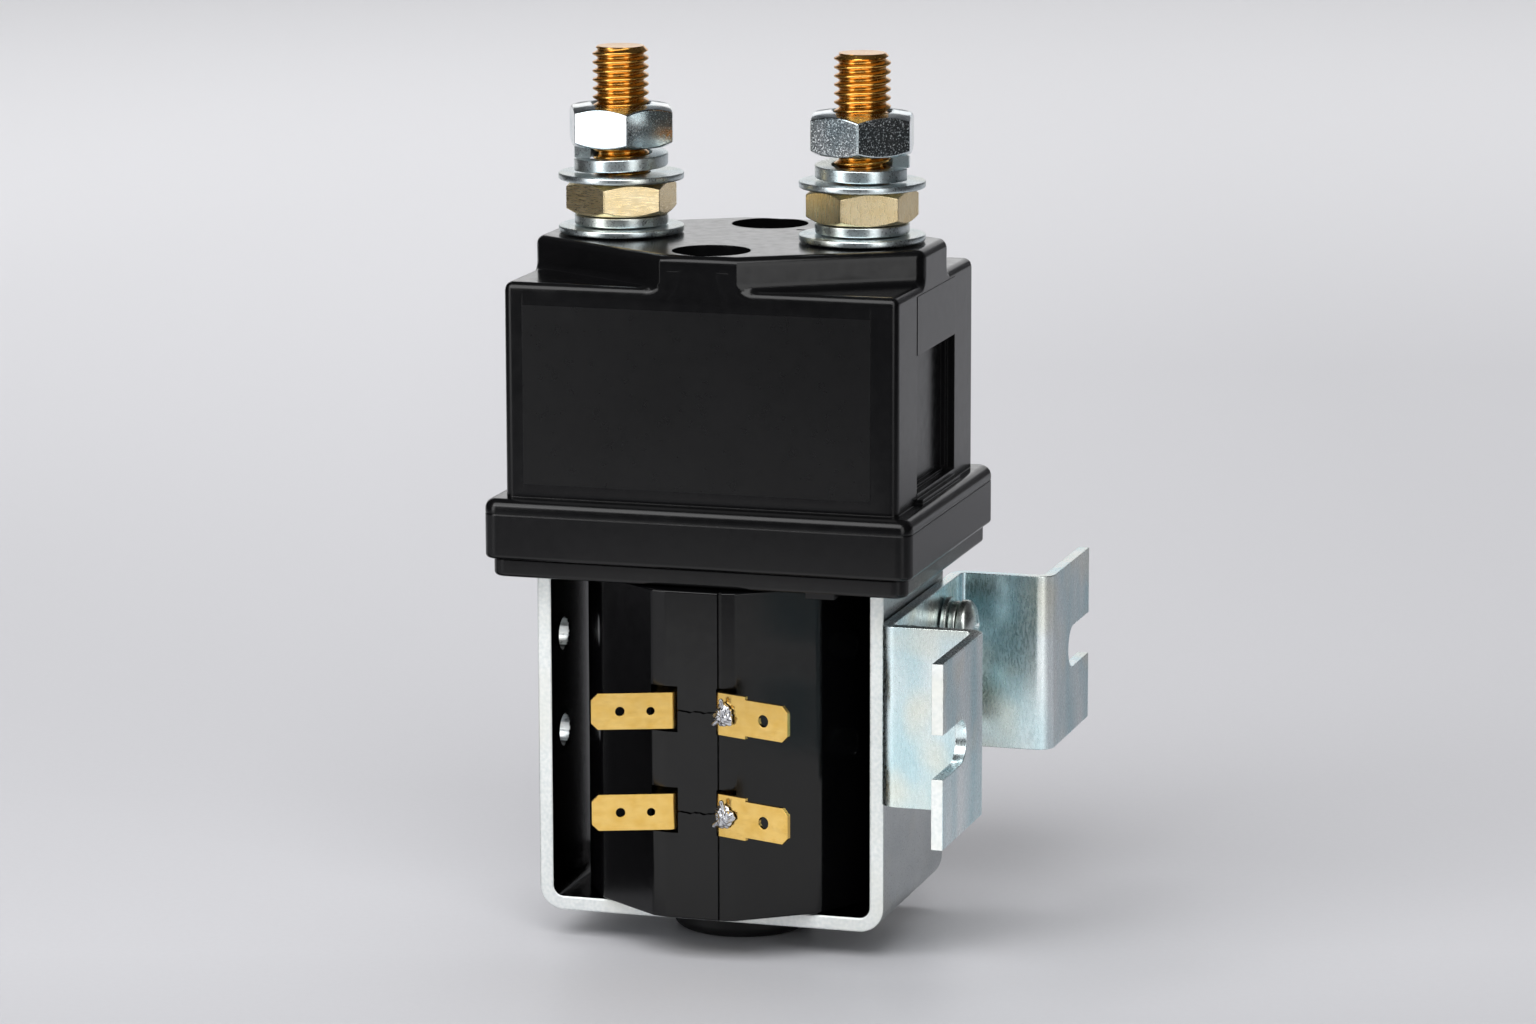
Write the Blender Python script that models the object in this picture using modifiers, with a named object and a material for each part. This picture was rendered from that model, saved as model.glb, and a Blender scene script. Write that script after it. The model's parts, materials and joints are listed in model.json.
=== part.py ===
"""High voltage dc contactor.

X runs along the two terminal studs, Y is the depth (front at -Y) and Z is up.
The origin is on the plunger axis, at the underside of the round end cap.
"""

import math

import bmesh
import bpy
from mathutils import Matrix, Vector

MM = 0.001

# Clearances
GAP = 0.25 * MM              # between pieces that seat on each other
SLIDE = 0.4 * MM             # between the plunger and its tube
OVERLAP = 1.0 * MM           # how far joined blocks and cutters run into each other
EDGE = 0.5 * MM              # edge taken off turned steel and silver pieces

# Magnet frame
CAP_HEIGHT = 4.9 * MM
CAP_RADIUS = 12.2 * MM
CAP_FLOOR = 2.0 * MM
CAP_EDGE = 1.8 * MM
YOKE_DEPTH = 39.4 * MM
YOKE_HEIGHT = 60.15 * MM
YOKE_SHEET = 2.5 * MM
YOKE_BEND = 3.1 * MM         # bend radius on the middle of the sheet
TENON_WIDTH = 14.0 * MM
TENON_HEIGHT = 2.7 * MM
PLATE_THICKNESS = 3.0 * MM

# Fixing holes in the frame arms, and the screws of the bracket
HOLE_ROW = 44.4 * MM         # height of the middle of the four holes
HOLE_PITCH_Y = 25.2 * MM
HOLE_PITCH_Z = 17.2 * MM
SCREW_RADIUS = 2.45 * MM
SCREW_HEAD_RADIUS = 4.6 * MM
SCREW_HEAD_HEIGHT = 2.9 * MM
SCREW_REACH = 2.1 * MM       # shank that passes the inside of the arm
SCREW_WASHER_RADIUS = 5.0 * MM
SCREW_WASHER = 1.0 * MM
SCREW_SPRING_RADIUS = 4.35 * MM
SCREW_SPRING = 1.25 * MM
SCREW_SPRING_CUT = math.radians(12)
SCREW_RIM = 1.0 * MM         # height of the straight rim under the domed head

# Bracket
BRACKET_SHEET = 2.0 * MM
BRACKET_BEND = 2.0 * MM
BRACKET_HEIGHT = 31.4 * MM
BRACKET_LENGTH = 103.2 * MM
BRACKET_SPAN = 50.2 * MM     # over the two arms
BRACKET_REACH = 18.4 * MM    # from the seat on the frame to the face of the lips
BRACKET_SHIFT = 1.0 * MM     # the bracket sits this far behind the frame's middle
SLOT_WIDTH = 7.5 * MM
SLOT_DEPTH = 15.5 * MM

# Coil
TUBE_RADIUS = 9.9 * MM
TUBE_WALL = 0.6 * MM
TUBE_SHORT = 0.5 * MM        # the tube ends this far under the pole plate
BOBBIN_WALL = 1.25 * MM
BOBBIN_FLANGE = 1.8 * MM
BOBBIN_RADIUS = 23.8 * MM
WINDING_INSET = 0.4 * MM     # the winding stays this far inside the flanges
BOBBIN_CLEARANCE = 0.3 * MM  # between the bobbin and the coil moulding
HOUSING_CLEARANCE = 1.7 * MM  # between the coil moulding and the arms of the frame
HOUSING_WALL = 2.8 * MM
RIDGE_RISE = 2.6 * MM        # the flat front panel stands this far out of the round
RIDGE_HALF = 4.8 * MM        # half the flat front panel
RIDGE_FACET = 7.4 * MM       # half the width over the two narrow facets
RIDGE_FACET_DROP = 0.6 * MM
RIDGE_FOOT_X = 7.0 * MM      # the foot of the ridge, in from the side of the round
RIDGE_FOOT_Y = 7.3 * MM      # and back from its front
RIDGE_SIDE_ANGLE = math.radians(-27.0)

# Blade terminals
BLADE_LOW = 27.0 * MM
BLADE_PITCH = 17.7 * MM
BLADE_SHEET = 0.8 * MM
BLADE_WIDTH = 6.3 * MM
BLADE_SPLAY = math.radians(20.5)
BLADE_BEND = 0.6 * MM
BLADE_STEP = 0.8 * MM        # where a blade starts, ahead of the ridge
TIP_LEFT = 16.3 * MM         # from the middle to a tip, along X
TIP_RIGHT = 18.9 * MM
BLADE_CHAMFER = 1.15 * MM
LEG_LEFT = 3.3 * MM
LEG_RIGHT = 4.9 * MM
SHOULDER_WIDTH = 7.4 * MM
SHOULDER_END = 10.5 * MM
WINDOW_SIDE = 7.6 * MM
WINDOW_HEIGHT = 8.0 * MM
BAR_THICKNESS = 0.9 * MM     # front bar between the windows of a level
LEFT_HOLES = ((11.7 * MM, 0.8 * MM), (6.8 * MM, 0.7 * MM))
RIGHT_HOLE = (14.1 * MM, 1.05 * MM)
SOLDER_PLACE = 6.6 * MM
SOLDER_SIZE = Vector((1.9 * MM, 1.25 * MM, 2.0 * MM))
SOLDER_LOBES = 0.12          # share by which the three lobes of the joint swell

# Mouldings
TRAY_INSET_X = 1.1 * MM      # the tray stands back from the flange above it
TRAY_INSET_Y = 1.3 * MM
TRAY_HEIGHT = 3.0 * MM
REBATE_HEIGHT = 3.15 * MM
REBATE_WALL = 2.85 * MM      # flange wall around the base moulding
UPSTAND = 2.0 * MM
FLANGE_LEDGE_X = 3.1 * MM    # from the body out to the flange, at the ends
FLANGE_LEDGE_Y = 3.45 * MM   # the same at the front and the back
FLANGE_HEIGHT = 10.4 * MM
FLANGE_TOP_ROUND = 1.8 * MM
FLANGE_BOTTOM_ROUND = 0.7 * MM
FLANGE_CORNER = 2.6 * MM
BODY_DEPTH = 50.5 * MM
SHOULDER_HEIGHT = 37.2 * MM  # from the flange to the shoulders
PLATEAU_HEIGHT = 5.7 * MM    # from the shoulders to the plateau
PLATEAU_FRONT = 13.6 * MM    # length of the plateau's edge on the front face
PLATEAU_END = 16.0 * MM      # width of the plateau at each end
BODY_ROUND = 1.4 * MM
END_WALL = 5.3 * MM
FRONT_WALL = 2.4 * MM
ROOF = 11.6 * MM
POCKET_WIDTH = 25.0 * MM
POCKET_SILL = 1.75 * MM
POCKET_HEIGHT = 23.8 * MM
POCKET_DEPTH = 3.1 * MM
PANEL_PROUD = 0.3 * MM
PANEL_HEIGHT = 35.0 * MM

# Cover screws in their wells
WELL_PLACE = 17.5 * MM
WELL_RADIUS = 6.75 * MM
WELL_WALL = 1.5 * MM
WELL_FLOOR = 3.0 * MM
COVER_SCREW_RADIUS = 2.45 * MM
COVER_HEAD_RADIUS = 4.4 * MM
COVER_HEAD_HEIGHT = 3.4 * MM
COVER_SOCKET_RADIUS = 2.3 * MM
COVER_SOCKET_DEPTH = 1.8 * MM

# Studs and the stack on each
STUD_SPACING = 43.4 * MM
STUD_RADIUS = 4.87 * MM      # over the thread of an M10 stud
STUD_HEIGHT = 32.5 * MM      # above the plateau
STUD_CHAMFER = 0.8 * MM
STUD_HEAD_RADIUS = 7.5 * MM
STUD_HEAD = 3.75 * MM
STUD_HEAD_CLEARANCE = 0.4 * MM  # between a stud's head and the end wall
STUD_FOOT_RADIUS = 5.5 * MM
STUD_FOOT = 1.75 * MM
WASHER_RADIUS = 10.9 * MM
WASHER = 1.15 * MM
WASHER_EDGE = 0.35 * MM
LOCK_RADIUS = 8.15 * MM
LOCK_WIDTH = 2.85 * MM
LOCK_FLAT = 1.7 * MM
LOCK_OPEN = 2.15 * MM
LOCK_RISE = 2.05 * MM        # height gained from one end of an open washer to the other
LOCK_CUT = math.radians(8)
LOCK_FLAT_START = math.radians(195)
NUT_FLATS = 17.0 * MM
NUT_LEAD = 0.45 * MM         # countersink at each end of the bore
NUT_FACE = 0.97              # bearing face diameter as a share of the width over flats
NUT_SLOPE = math.radians(30)
BRASS_NUT = 5.6 * MM
STEEL_NUT = 7.3 * MM

# Each stud: X side, turn of the brass nut, turn of the steel nut, then the open
# spring washer's lower end, its direction round the stud and how late it climbs
STACKS = {
    "left": (-1, math.radians(30), math.radians(-66.5), math.radians(-160), 1, 1.0),
    "right": (1, math.radians(-36), math.radians(-79), math.radians(-5), -1, 2.2),
}

# Contacts
TIP_RADIUS = 5.0 * MM
TIP = 1.5 * MM
CONTACT_OPENING = 2.9 * MM
BRIDGE_OVERHANG = 4.9 * MM   # of the moving contact past the middle of a stud
BRIDGE_WIDTH = 12.0 * MM
BRIDGE = 3.0 * MM
BUSH_RADIUS = 5.0 * MM
BUSH_FLANGE = 1.25 * MM
BUSH_WALL = 0.8 * MM
SPRING_SEAT_RADIUS = 5.0 * MM
SPRING_SEAT = 1.2 * MM
CLIP_RADIUS = 4.2 * MM
CLIP = 0.9 * MM
CLIP_OPENING = math.radians(60)
SHAFT_ABOVE_CLIP = 2.6 * MM

# Plunger
STROKE = 4.0 * MM
POLE_GAP = 0.3 * MM          # left between plunger and pole when it is pulled in
PLUNGER_LENGTH = 33.8 * MM
SHAFT_RADIUS = 2.9 * MM
SHAFT_NECK = 2.0 * MM
SHAFT_GROOVE = 0.5 * MM
SHAFT_BURIED = 16.0 * MM     # length of shaft held below the spring pocket
SPRING_POCKET_RADIUS = 5.4 * MM
PLUNGER_POCKET = 8.0 * MM
POLE_POCKET = 4.0 * MM
POLE_SPIGOT_RADIUS = 6.5 * MM
RETURN_WIRE = 1.1 * MM
RETURN_RADIUS = 4.3 * MM
RETURN_TURNS = 5.5
SPRING_EASE = 0.6            # how far the end turns of a spring close up
CONTACT_WIRE = 1.0 * MM
CONTACT_SPRING_RADIUS = 3.9 * MM
CONTACT_SPRING_LENGTH = 8.0 * MM
CONTACT_TURNS = 4.5

# Facets
ROUND_STEPS = 20
FINE_STEPS = 28
SMALL_STEPS = 16
ARC_STEPS = 3
SPRING_STEPS = 10            # points to a turn
SMOOTH_ANGLE = math.radians(35)

# Widths worked out from the sizes above
BODY_WIDTH = STUD_SPACING + 2 * (STUD_HEAD_RADIUS + STUD_HEAD_CLEARANCE + END_WALL)
FLANGE_WIDTH = BODY_WIDTH + 2 * FLANGE_LEDGE_X
FLANGE_DEPTH = BODY_DEPTH + 2 * FLANGE_LEDGE_Y
TRAY_WIDTH = FLANGE_WIDTH - 2 * TRAY_INSET_X
TRAY_DEPTH = FLANGE_DEPTH - 2 * TRAY_INSET_Y
BRIDGE_LENGTH = STUD_SPACING + 2 * BRIDGE_OVERHANG
WINDING_RADIUS = BOBBIN_RADIUS - WINDING_INSET
HOUSING_RADIUS = HOUSING_WALL + BOBBIN_CLEARANCE + BOBBIN_RADIUS
YOKE_WIDTH = 2 * (HOUSING_RADIUS + HOUSING_CLEARANCE + YOKE_SHEET)
RIDGE_FRONT = HOUSING_RADIUS + RIDGE_RISE
RIDGE_FOOT = Vector((HOUSING_RADIUS - RIDGE_FOOT_X, RIDGE_FOOT_Y - HOUSING_RADIUS))
BLADE_FRONT = RIDGE_FRONT + BLADE_STEP

# Levels worked out from the sizes above
YOKE_BOTTOM = CAP_HEIGHT + GAP
YOKE_FLOOR = YOKE_BOTTOM + YOKE_SHEET
YOKE_TOP = YOKE_BOTTOM + YOKE_HEIGHT
COIL_BOTTOM = YOKE_FLOOR + GAP
PLATE_BOTTOM = YOKE_TOP + GAP
PLATE_TOP = PLATE_BOTTOM + PLATE_THICKNESS
COIL_TOP = PLATE_BOTTOM - GAP
TRAY_TOP = PLATE_BOTTOM + TRAY_HEIGHT
REBATE_TOP = TRAY_TOP + REBATE_HEIGHT
BASE_TOP = REBATE_TOP + UPSTAND
FLANGE_BOTTOM = TRAY_TOP + GAP
FLANGE_TOP = FLANGE_BOTTOM + FLANGE_HEIGHT
SHOULDER = FLANGE_TOP + SHOULDER_HEIGHT
PLATEAU = SHOULDER + PLATEAU_HEIGHT
CEILING = PLATEAU - ROOF
WELL_BOTTOM = BASE_TOP + GAP + WELL_FLOOR
STUD_HEAD_TOP = CEILING - GAP
STUD_FOOT_BOTTOM = STUD_HEAD_TOP - STUD_HEAD - STUD_FOOT
STUD_TIP_BOTTOM = STUD_FOOT_BOTTOM - GAP - TIP
BRIDGE_TIP_TOP = STUD_TIP_BOTTOM - CONTACT_OPENING
BRIDGE_TOP = BRIDGE_TIP_TOP - TIP - GAP
BRIDGE_BOTTOM = BRIDGE_TOP - BRIDGE
BUSH_BOTTOM = BRIDGE_BOTTOM - GAP - BUSH_FLANGE
CLIP_BOTTOM = BRIDGE_TOP + GAP
SHAFT_TOP = CLIP_BOTTOM + CLIP + SHAFT_ABOVE_CLIP
SEAT_TOP = BUSH_BOTTOM - CONTACT_SPRING_LENGTH
SEAT_BOTTOM = SEAT_TOP - SPRING_SEAT
SHAFT_STEP = SEAT_BOTTOM - GAP
PLUNGER_BOTTOM = CAP_FLOOR + GAP
PLUNGER_TOP = PLUNGER_BOTTOM + PLUNGER_LENGTH
PLUNGER_POCKET_FLOOR = PLUNGER_TOP - PLUNGER_POCKET
POLE_BOTTOM = PLUNGER_TOP + STROKE + POLE_GAP
POLE_POCKET_TOP = POLE_BOTTOM + POLE_POCKET
SHAFT_BOTTOM = PLUNGER_POCKET_FLOOR - SHAFT_BURIED
TUBE_BORE = TUBE_RADIUS - TUBE_WALL
PLUNGER_RADIUS = TUBE_BORE - SLIDE
POLE_RADIUS = TUBE_BORE - GAP
TUBE_HOLE = TUBE_RADIUS + GAP
ARM_FACE = YOKE_WIDTH / 2
BRACKET_SEAT = ARM_FACE + GAP
BRACKET_FACE = BRACKET_SEAT + BRACKET_SHEET
CAVITY_WIDTH = BODY_WIDTH - 2 * END_WALL
CAVITY_DEPTH = BODY_DEPTH - 2 * FRONT_WALL
REBATE_WIDTH = FLANGE_WIDTH - 2 * REBATE_WALL
REBATE_DEPTH = FLANGE_DEPTH - 2 * REBATE_WALL

FINISHES = {
    "black_moulding": ("1B1B1C", 0.32, 0.0),
    "coil_moulding": ("141415", 0.16, 0.0),
    "cap_moulding": ("1A1A1B", 0.55, 0.0),
    "bobbin_nylon": ("D8D3C4", 0.5, 0.0),
    "enamelled_wire": ("8A3B17", 0.35, 0.6),
    "zinc_plate": ("B9C3C4", 0.3, 1.0),
    "bare_steel": ("8E9092", 0.35, 1.0),
    "brass": ("D2A94E", 0.28, 1.0),
    "pale_brass": ("C9B07A", 0.34, 1.0),
    "copper": ("B8704A", 0.3, 1.0),
    "silver_tip": ("D5D3CE", 0.35, 1.0),
    "solder": ("B9B9C2", 0.38, 1.0),
    "spring_steel": ("777B80", 0.32, 1.0),
}

model = None
cutters = None


def linear(channel):
    """One sRGB channel as linear light."""
    if channel <= 0.04045:
        return channel / 12.92
    return ((channel + 0.055) / 1.055) ** 2.4


def finish(name):
    """The material of that name, made on its first use."""
    found = bpy.data.materials.get(name)
    if found:
        return found
    code, roughness, metallic = FINISHES[name]
    colour = [linear(int(code[i:i + 2], 16) / 255) for i in (0, 2, 4)]
    made = bpy.data.materials.new(name)
    made.use_nodes = True
    shader = made.node_tree.nodes["Principled BSDF"]
    shader.inputs["Base Color"].default_value = (*colour, 1)
    shader.inputs["Roughness"].default_value = roughness
    shader.inputs["Metallic"].default_value = metallic
    made.diffuse_color = (*colour, 1)
    return made


def add(name, data, material=None, smooth=False):
    """Link a new object, as a piece with its material or as a cutter without one."""
    piece = bpy.data.objects.new(name, data)
    if material is None:
        cutters.objects.link(piece)
        piece.hide_render = True
        piece.display_type = "WIRE"
        return piece
    model.objects.link(piece)
    data.materials.append(finish(material))
    if smooth:
        data.shade_smooth()
        data.set_sharp_from_angle(angle=SMOOTH_ANGLE)
    return piece


def boolean(piece, cutter, operation="DIFFERENCE"):
    """Cut, join or intersect a piece with a cutter."""
    step = piece.modifiers.new(cutter.name, "BOOLEAN")
    step.operation = operation
    step.solver = "EXACT"
    step.object = cutter
    return piece


def box(name, low, high, material=None):
    """A box between two corners."""
    mesh = bpy.data.meshes.new(name)
    bm = bmesh.new()
    bmesh.ops.create_cube(bm, size=1)
    low = Vector(low)
    high = Vector(high)
    bmesh.ops.scale(bm, vec=high - low, verts=bm.verts)
    bmesh.ops.translate(bm, vec=(low + high) / 2, verts=bm.verts)
    bm.to_mesh(mesh)
    bm.free()
    return add(name, mesh, material)


def cylinder(name, radius, low, high, at=(0, 0), axis="Z", steps=ROUND_STEPS):
    """A cutting cylinder along an axis; at is its place across that axis."""
    mesh = bpy.data.meshes.new(name)
    bm = bmesh.new()
    bmesh.ops.create_cone(bm, cap_ends=True, segments=steps, radius1=radius,
                          radius2=radius, depth=high - low)
    if axis == "Z":
        place = Matrix.Translation((at[0], at[1], (low + high) / 2))
    else:
        place = Matrix.Translation(((low + high) / 2, at[0], at[1]))
        place = place @ Matrix.Rotation(math.pi / 2, 4, "Y")
    bmesh.ops.transform(bm, matrix=place, verts=bm.verts)
    bm.to_mesh(mesh)
    bm.free()
    return add(name, mesh)


def rounded_block(name, width, depth, low, high, corner, top, bottom, material=None):
    """A block about the Z axis with its own radius on sides, top edge and bottom edge."""
    mesh = bpy.data.meshes.new(name)
    bm = bmesh.new()
    bmesh.ops.create_cube(bm, size=1)
    bmesh.ops.scale(bm, vec=(width, depth, high - low), verts=bm.verts)
    bmesh.ops.translate(bm, vec=(0, 0, (low + high) / 2), verts=bm.verts)
    upright = [e for e in bm.edges if abs(e.verts[0].co.z - e.verts[1].co.z) > GAP]
    bmesh.ops.bevel(bm, geom=upright, offset=corner, segments=ARC_STEPS, profile=0.5,
                    affect="EDGES")
    for level, radius in ((high, top), (low, bottom)):
        if radius > 0:
            rim = [e for e in bm.edges if all(abs(v.co.z - level) < 1e-7 for v in e.verts)]
            bmesh.ops.bevel(bm, geom=rim, offset=radius, segments=3, profile=0.5,
                            affect="EDGES", clamp_overlap=True)
    bm.to_mesh(mesh)
    bm.free()
    return add(name, mesh, material)


def turned(name, profile, material=None, steps=ROUND_STEPS, closed=False):
    """A turned piece: the profile (radius, height) runs down its outer side."""
    mesh = bpy.data.meshes.new(name)
    count = len(profile)
    edges = [(i, i + 1) for i in range(count - 1)]
    if closed:
        edges.append((count - 1, 0))
    mesh.from_pydata([(r, 0, z) for r, z in profile], edges, [])
    piece = add(name, mesh, material)
    screw = piece.modifiers.new("Turn", "SCREW")
    screw.axis = "Z"
    screw.steps = steps
    screw.render_steps = steps
    screw.use_merge_vertices = True
    screw.merge_threshold = 0.00001
    screw.use_smooth_shade = True
    if material:
        piece.modifiers.new("Flat faces shaded flat", "WEIGHTED_NORMAL")
    return piece


def ring_profile(outer, inner, low, high, edge=0.0):
    """The closed section of a ring, its two outer edges taken off where edge is set."""
    if edge <= 0:
        return [(outer, high), (outer, low), (inner, low), (inner, high)]
    return [(outer - edge, high), (outer, high - edge), (outer, low + edge),
            (outer - edge, low), (inner, low), (inner, high)]


def ring(name, outer, inner, low, high, material, edge=0.0, steps=ROUND_STEPS):
    """A plain ring or washer about the Z axis."""
    return turned(name, ring_profile(outer, inner, low, high, edge), material, steps, True)


def arc(centre, radius, start, end, steps):
    """Points on an arc, both ends included."""
    points = []
    for i in range(steps + 1):
        angle = start + (end - start) * i / steps
        points.append(centre + radius * Vector((math.cos(angle), math.sin(angle))))
    return points


def bent_path(corners, radius, steps=ARC_STEPS):
    """An open path through its corners, each inner corner replaced by an arc."""
    path = [Vector(corners[0])]
    for before, corner, after in zip(corners, corners[1:], corners[2:]):
        before, corner, after = Vector(before), Vector(corner), Vector(after)
        come = (before - corner).normalized()
        leave = (after - corner).normalized()
        half = come.angle(leave) / 2
        centre = corner + (come + leave).normalized() * (radius / math.sin(half))
        first = corner + come * (radius / math.tan(half)) - centre
        last = corner + leave * (radius / math.tan(half)) - centre
        start = math.atan2(first.y, first.x)
        sweep = math.atan2(first.cross(last), first.dot(last))
        path.extend(arc(centre, radius, start, start + sweep, steps))
    path.append(Vector(corners[-1]))
    return path


def sheet_outline(path, thickness):
    """The closed outline of a sheet of this thickness, bent along the path."""
    left = []
    right = []
    last = len(path) - 1
    for i, point in enumerate(path):
        along = (path[min(i + 1, last)] - path[max(i - 1, 0)]).normalized()
        across = Vector((-along.y, along.x)) * thickness / 2
        left.append(point + across)
        right.append(point - across)
    return left + right[::-1]


def prism(name, outline, low, high, material=None, turn=None):
    """A flat outline extruded from low to high, then turned where a matrix is given."""
    curve = bpy.data.curves.new(name, "CURVE")
    curve.dimensions = "2D"
    curve.fill_mode = "BOTH"
    curve.extrude = (high - low) / 2
    spline = curve.splines.new("POLY")
    spline.points.add(len(outline) - 1)
    for point, place in zip(spline.points, outline):
        point.co = (place[0], place[1], 0, 1)
    spline.use_cyclic_u = True
    flat = bpy.data.objects.new(name, curve)
    bpy.context.scene.collection.objects.link(flat)
    bpy.context.view_layer.update()
    seen = flat.evaluated_get(bpy.context.evaluated_depsgraph_get())
    mesh = bpy.data.meshes.new_from_object(seen)
    bpy.data.objects.remove(flat)
    bpy.data.curves.remove(curve)
    bm = bmesh.new()
    bm.from_mesh(mesh)
    bmesh.ops.remove_doubles(bm, verts=bm.verts, dist=0.000001)
    bmesh.ops.dissolve_limit(bm, angle_limit=math.radians(0.1), verts=bm.verts,
                             edges=bm.edges)
    bmesh.ops.translate(bm, vec=(0, 0, (low + high) / 2), verts=bm.verts)
    if turn is not None:
        bmesh.ops.transform(bm, matrix=turn, verts=bm.verts)
    bmesh.ops.recalc_face_normals(bm, faces=bm.faces)
    bm.to_mesh(mesh)
    bm.free()
    mesh.name = name
    return add(name, mesh, material)


def split_ring(name, outer, width, height, material, start, opening, rise=0.0, way=1,
               late=1.0, steps=SMALL_STEPS):
    """A split ring: a rectangular section swept round, climbing by rise at its end.

    way is 1 for a ring that climbs anticlockwise, and a late above 1 keeps it level
    for longer before it climbs.
    """
    inner = outer - width
    corners = ((inner, 0), (outer, 0), (outer, height), (inner, height))
    sweep = 2 * math.pi - opening
    points = []
    for i in range(steps + 1):
        share = i / steps
        angle = start + way * sweep * share
        climb = rise * share ** late
        points.extend((r * math.cos(angle), r * math.sin(angle), z + climb)
                      for r, z in corners)
    faces = [(0, 1, 2, 3), tuple(4 * steps + i for i in (3, 2, 1, 0))]
    for i in range(steps):
        for side in range(4):
            after = (side + 1) % 4
            faces.append((4 * i + side, 4 * i + 4 + side, 4 * i + 4 + after, 4 * i + after))
    mesh = bpy.data.meshes.new(name)
    mesh.from_pydata(points, [], faces)
    bm = bmesh.new()
    bm.from_mesh(mesh)
    bmesh.ops.recalc_face_normals(bm, faces=bm.faces)
    bm.to_mesh(mesh)
    bm.free()
    return add(name, mesh, material, smooth=True)


def helix(name, radius, wire, low, high, turns, material):
    """A coil spring between two levels, with its end turns closed."""
    curve = bpy.data.curves.new(name, "CURVE")
    curve.dimensions = "3D"
    curve.bevel_depth = wire / 2
    curve.bevel_resolution = 1
    curve.use_fill_caps = True
    count = int(turns * SPRING_STEPS)
    spline = curve.splines.new("POLY")
    spline.points.add(count)
    bottom = low + wire / 2
    climb = high - low - wire
    for i, point in enumerate(spline.points):
        share = i / count
        angle = 2 * math.pi * turns * share
        eased = share - SPRING_EASE * math.sin(2 * math.pi * share) / (2 * math.pi)
        point.co = (radius * math.cos(angle), radius * math.sin(angle),
                    bottom + climb * eased, 1)
    piece = bpy.data.objects.new(name, curve)
    model.objects.link(piece)
    curve.materials.append(finish(material))
    return piece


def hexagon(radius, turn=0.0):
    """The corners of a hexagon."""
    angles = [turn + i * math.pi / 3 for i in range(6)]
    return [Vector((radius * math.cos(a), radius * math.sin(a))) for a in angles]


def make_yoke():
    """The U of the magnet frame, with its holes and the two tenons on top."""
    middle = YOKE_WIDTH / 2 - YOKE_SHEET / 2
    floor = YOKE_BOTTOM + YOKE_SHEET / 2
    corners = [(-middle, YOKE_TOP), (-middle, floor), (middle, floor), (middle, YOKE_TOP)]
    outline = sheet_outline(bent_path(corners, YOKE_BEND), YOKE_SHEET)
    stand = Matrix.Rotation(math.pi / 2, 4, "X")
    half = YOKE_DEPTH / 2
    yoke = prism("yoke_frame", outline, -half, half, "zinc_plate", stand)
    for side in (-1, 1):
        inner = side * (ARM_FACE - YOKE_SHEET)
        outer = side * ARM_FACE
        tenon = box("tenon_cutter", (min(inner, outer), -TENON_WIDTH / 2, YOKE_TOP - OVERLAP),
                    (max(inner, outer), TENON_WIDTH / 2, YOKE_TOP + TENON_HEIGHT))
        boolean(yoke, tenon, "UNION")
    boolean(yoke, cylinder("tube_cutter", TUBE_HOLE, 0, 2 * YOKE_FLOOR, steps=FINE_STEPS))
    for y, z in hole_places():
        drill = cylinder("arm_cutter", SCREW_RADIUS + GAP, -YOKE_WIDTH, YOKE_WIDTH,
                         (y, z), "X", SMALL_STEPS)
        boolean(yoke, drill)


def hole_places():
    """Y and Z of the four fixing holes of an arm."""
    return [(y * HOLE_PITCH_Y / 2, HOLE_ROW + z * HOLE_PITCH_Z / 2)
            for z in (-1, 1) for y in (-1, 1)]


def make_plate():
    """The steel plate that closes the frame, notched for the tenons."""
    plate = box("pole_plate", (-ARM_FACE, -YOKE_DEPTH / 2, PLATE_BOTTOM),
                (ARM_FACE, YOKE_DEPTH / 2, PLATE_TOP), "zinc_plate")
    notch = TENON_WIDTH / 2 + GAP
    inner = ARM_FACE - YOKE_SHEET - GAP
    for side in (-1, 1):
        low = min(side * inner, side * 2 * ARM_FACE)
        high = max(side * inner, side * 2 * ARM_FACE)
        boolean(plate, box("notch_cutter", (low, -notch, 0), (high, notch, PLATEAU)))
    boolean(plate, cylinder("spigot_cutter", POLE_SPIGOT_RADIUS + GAP, 0, PLATEAU))
    for side in (-1, 1):
        drill = cylinder("plate_cutter", COVER_SCREW_RADIUS + GAP, 0, PLATEAU,
                         (0, side * WELL_PLACE), steps=SMALL_STEPS)
        boolean(plate, drill)


def housing_outline():
    """Plan of the coil moulding: a round back and a faceted ridge at the front."""
    front = [Vector((RIDGE_HALF, -RIDGE_FRONT)),
             Vector((RIDGE_FACET, -RIDGE_FRONT + RIDGE_FACET_DROP)),
             RIDGE_FOOT.copy()]
    sides = arc(Vector((0, 0)), HOUSING_RADIUS, RIDGE_SIDE_ANGLE, math.pi / 2,
                FINE_STEPS // 3)
    right = front + sides
    left = [Vector((-p.x, p.y)) for p in right[-2::-1]]
    return right + left


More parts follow.
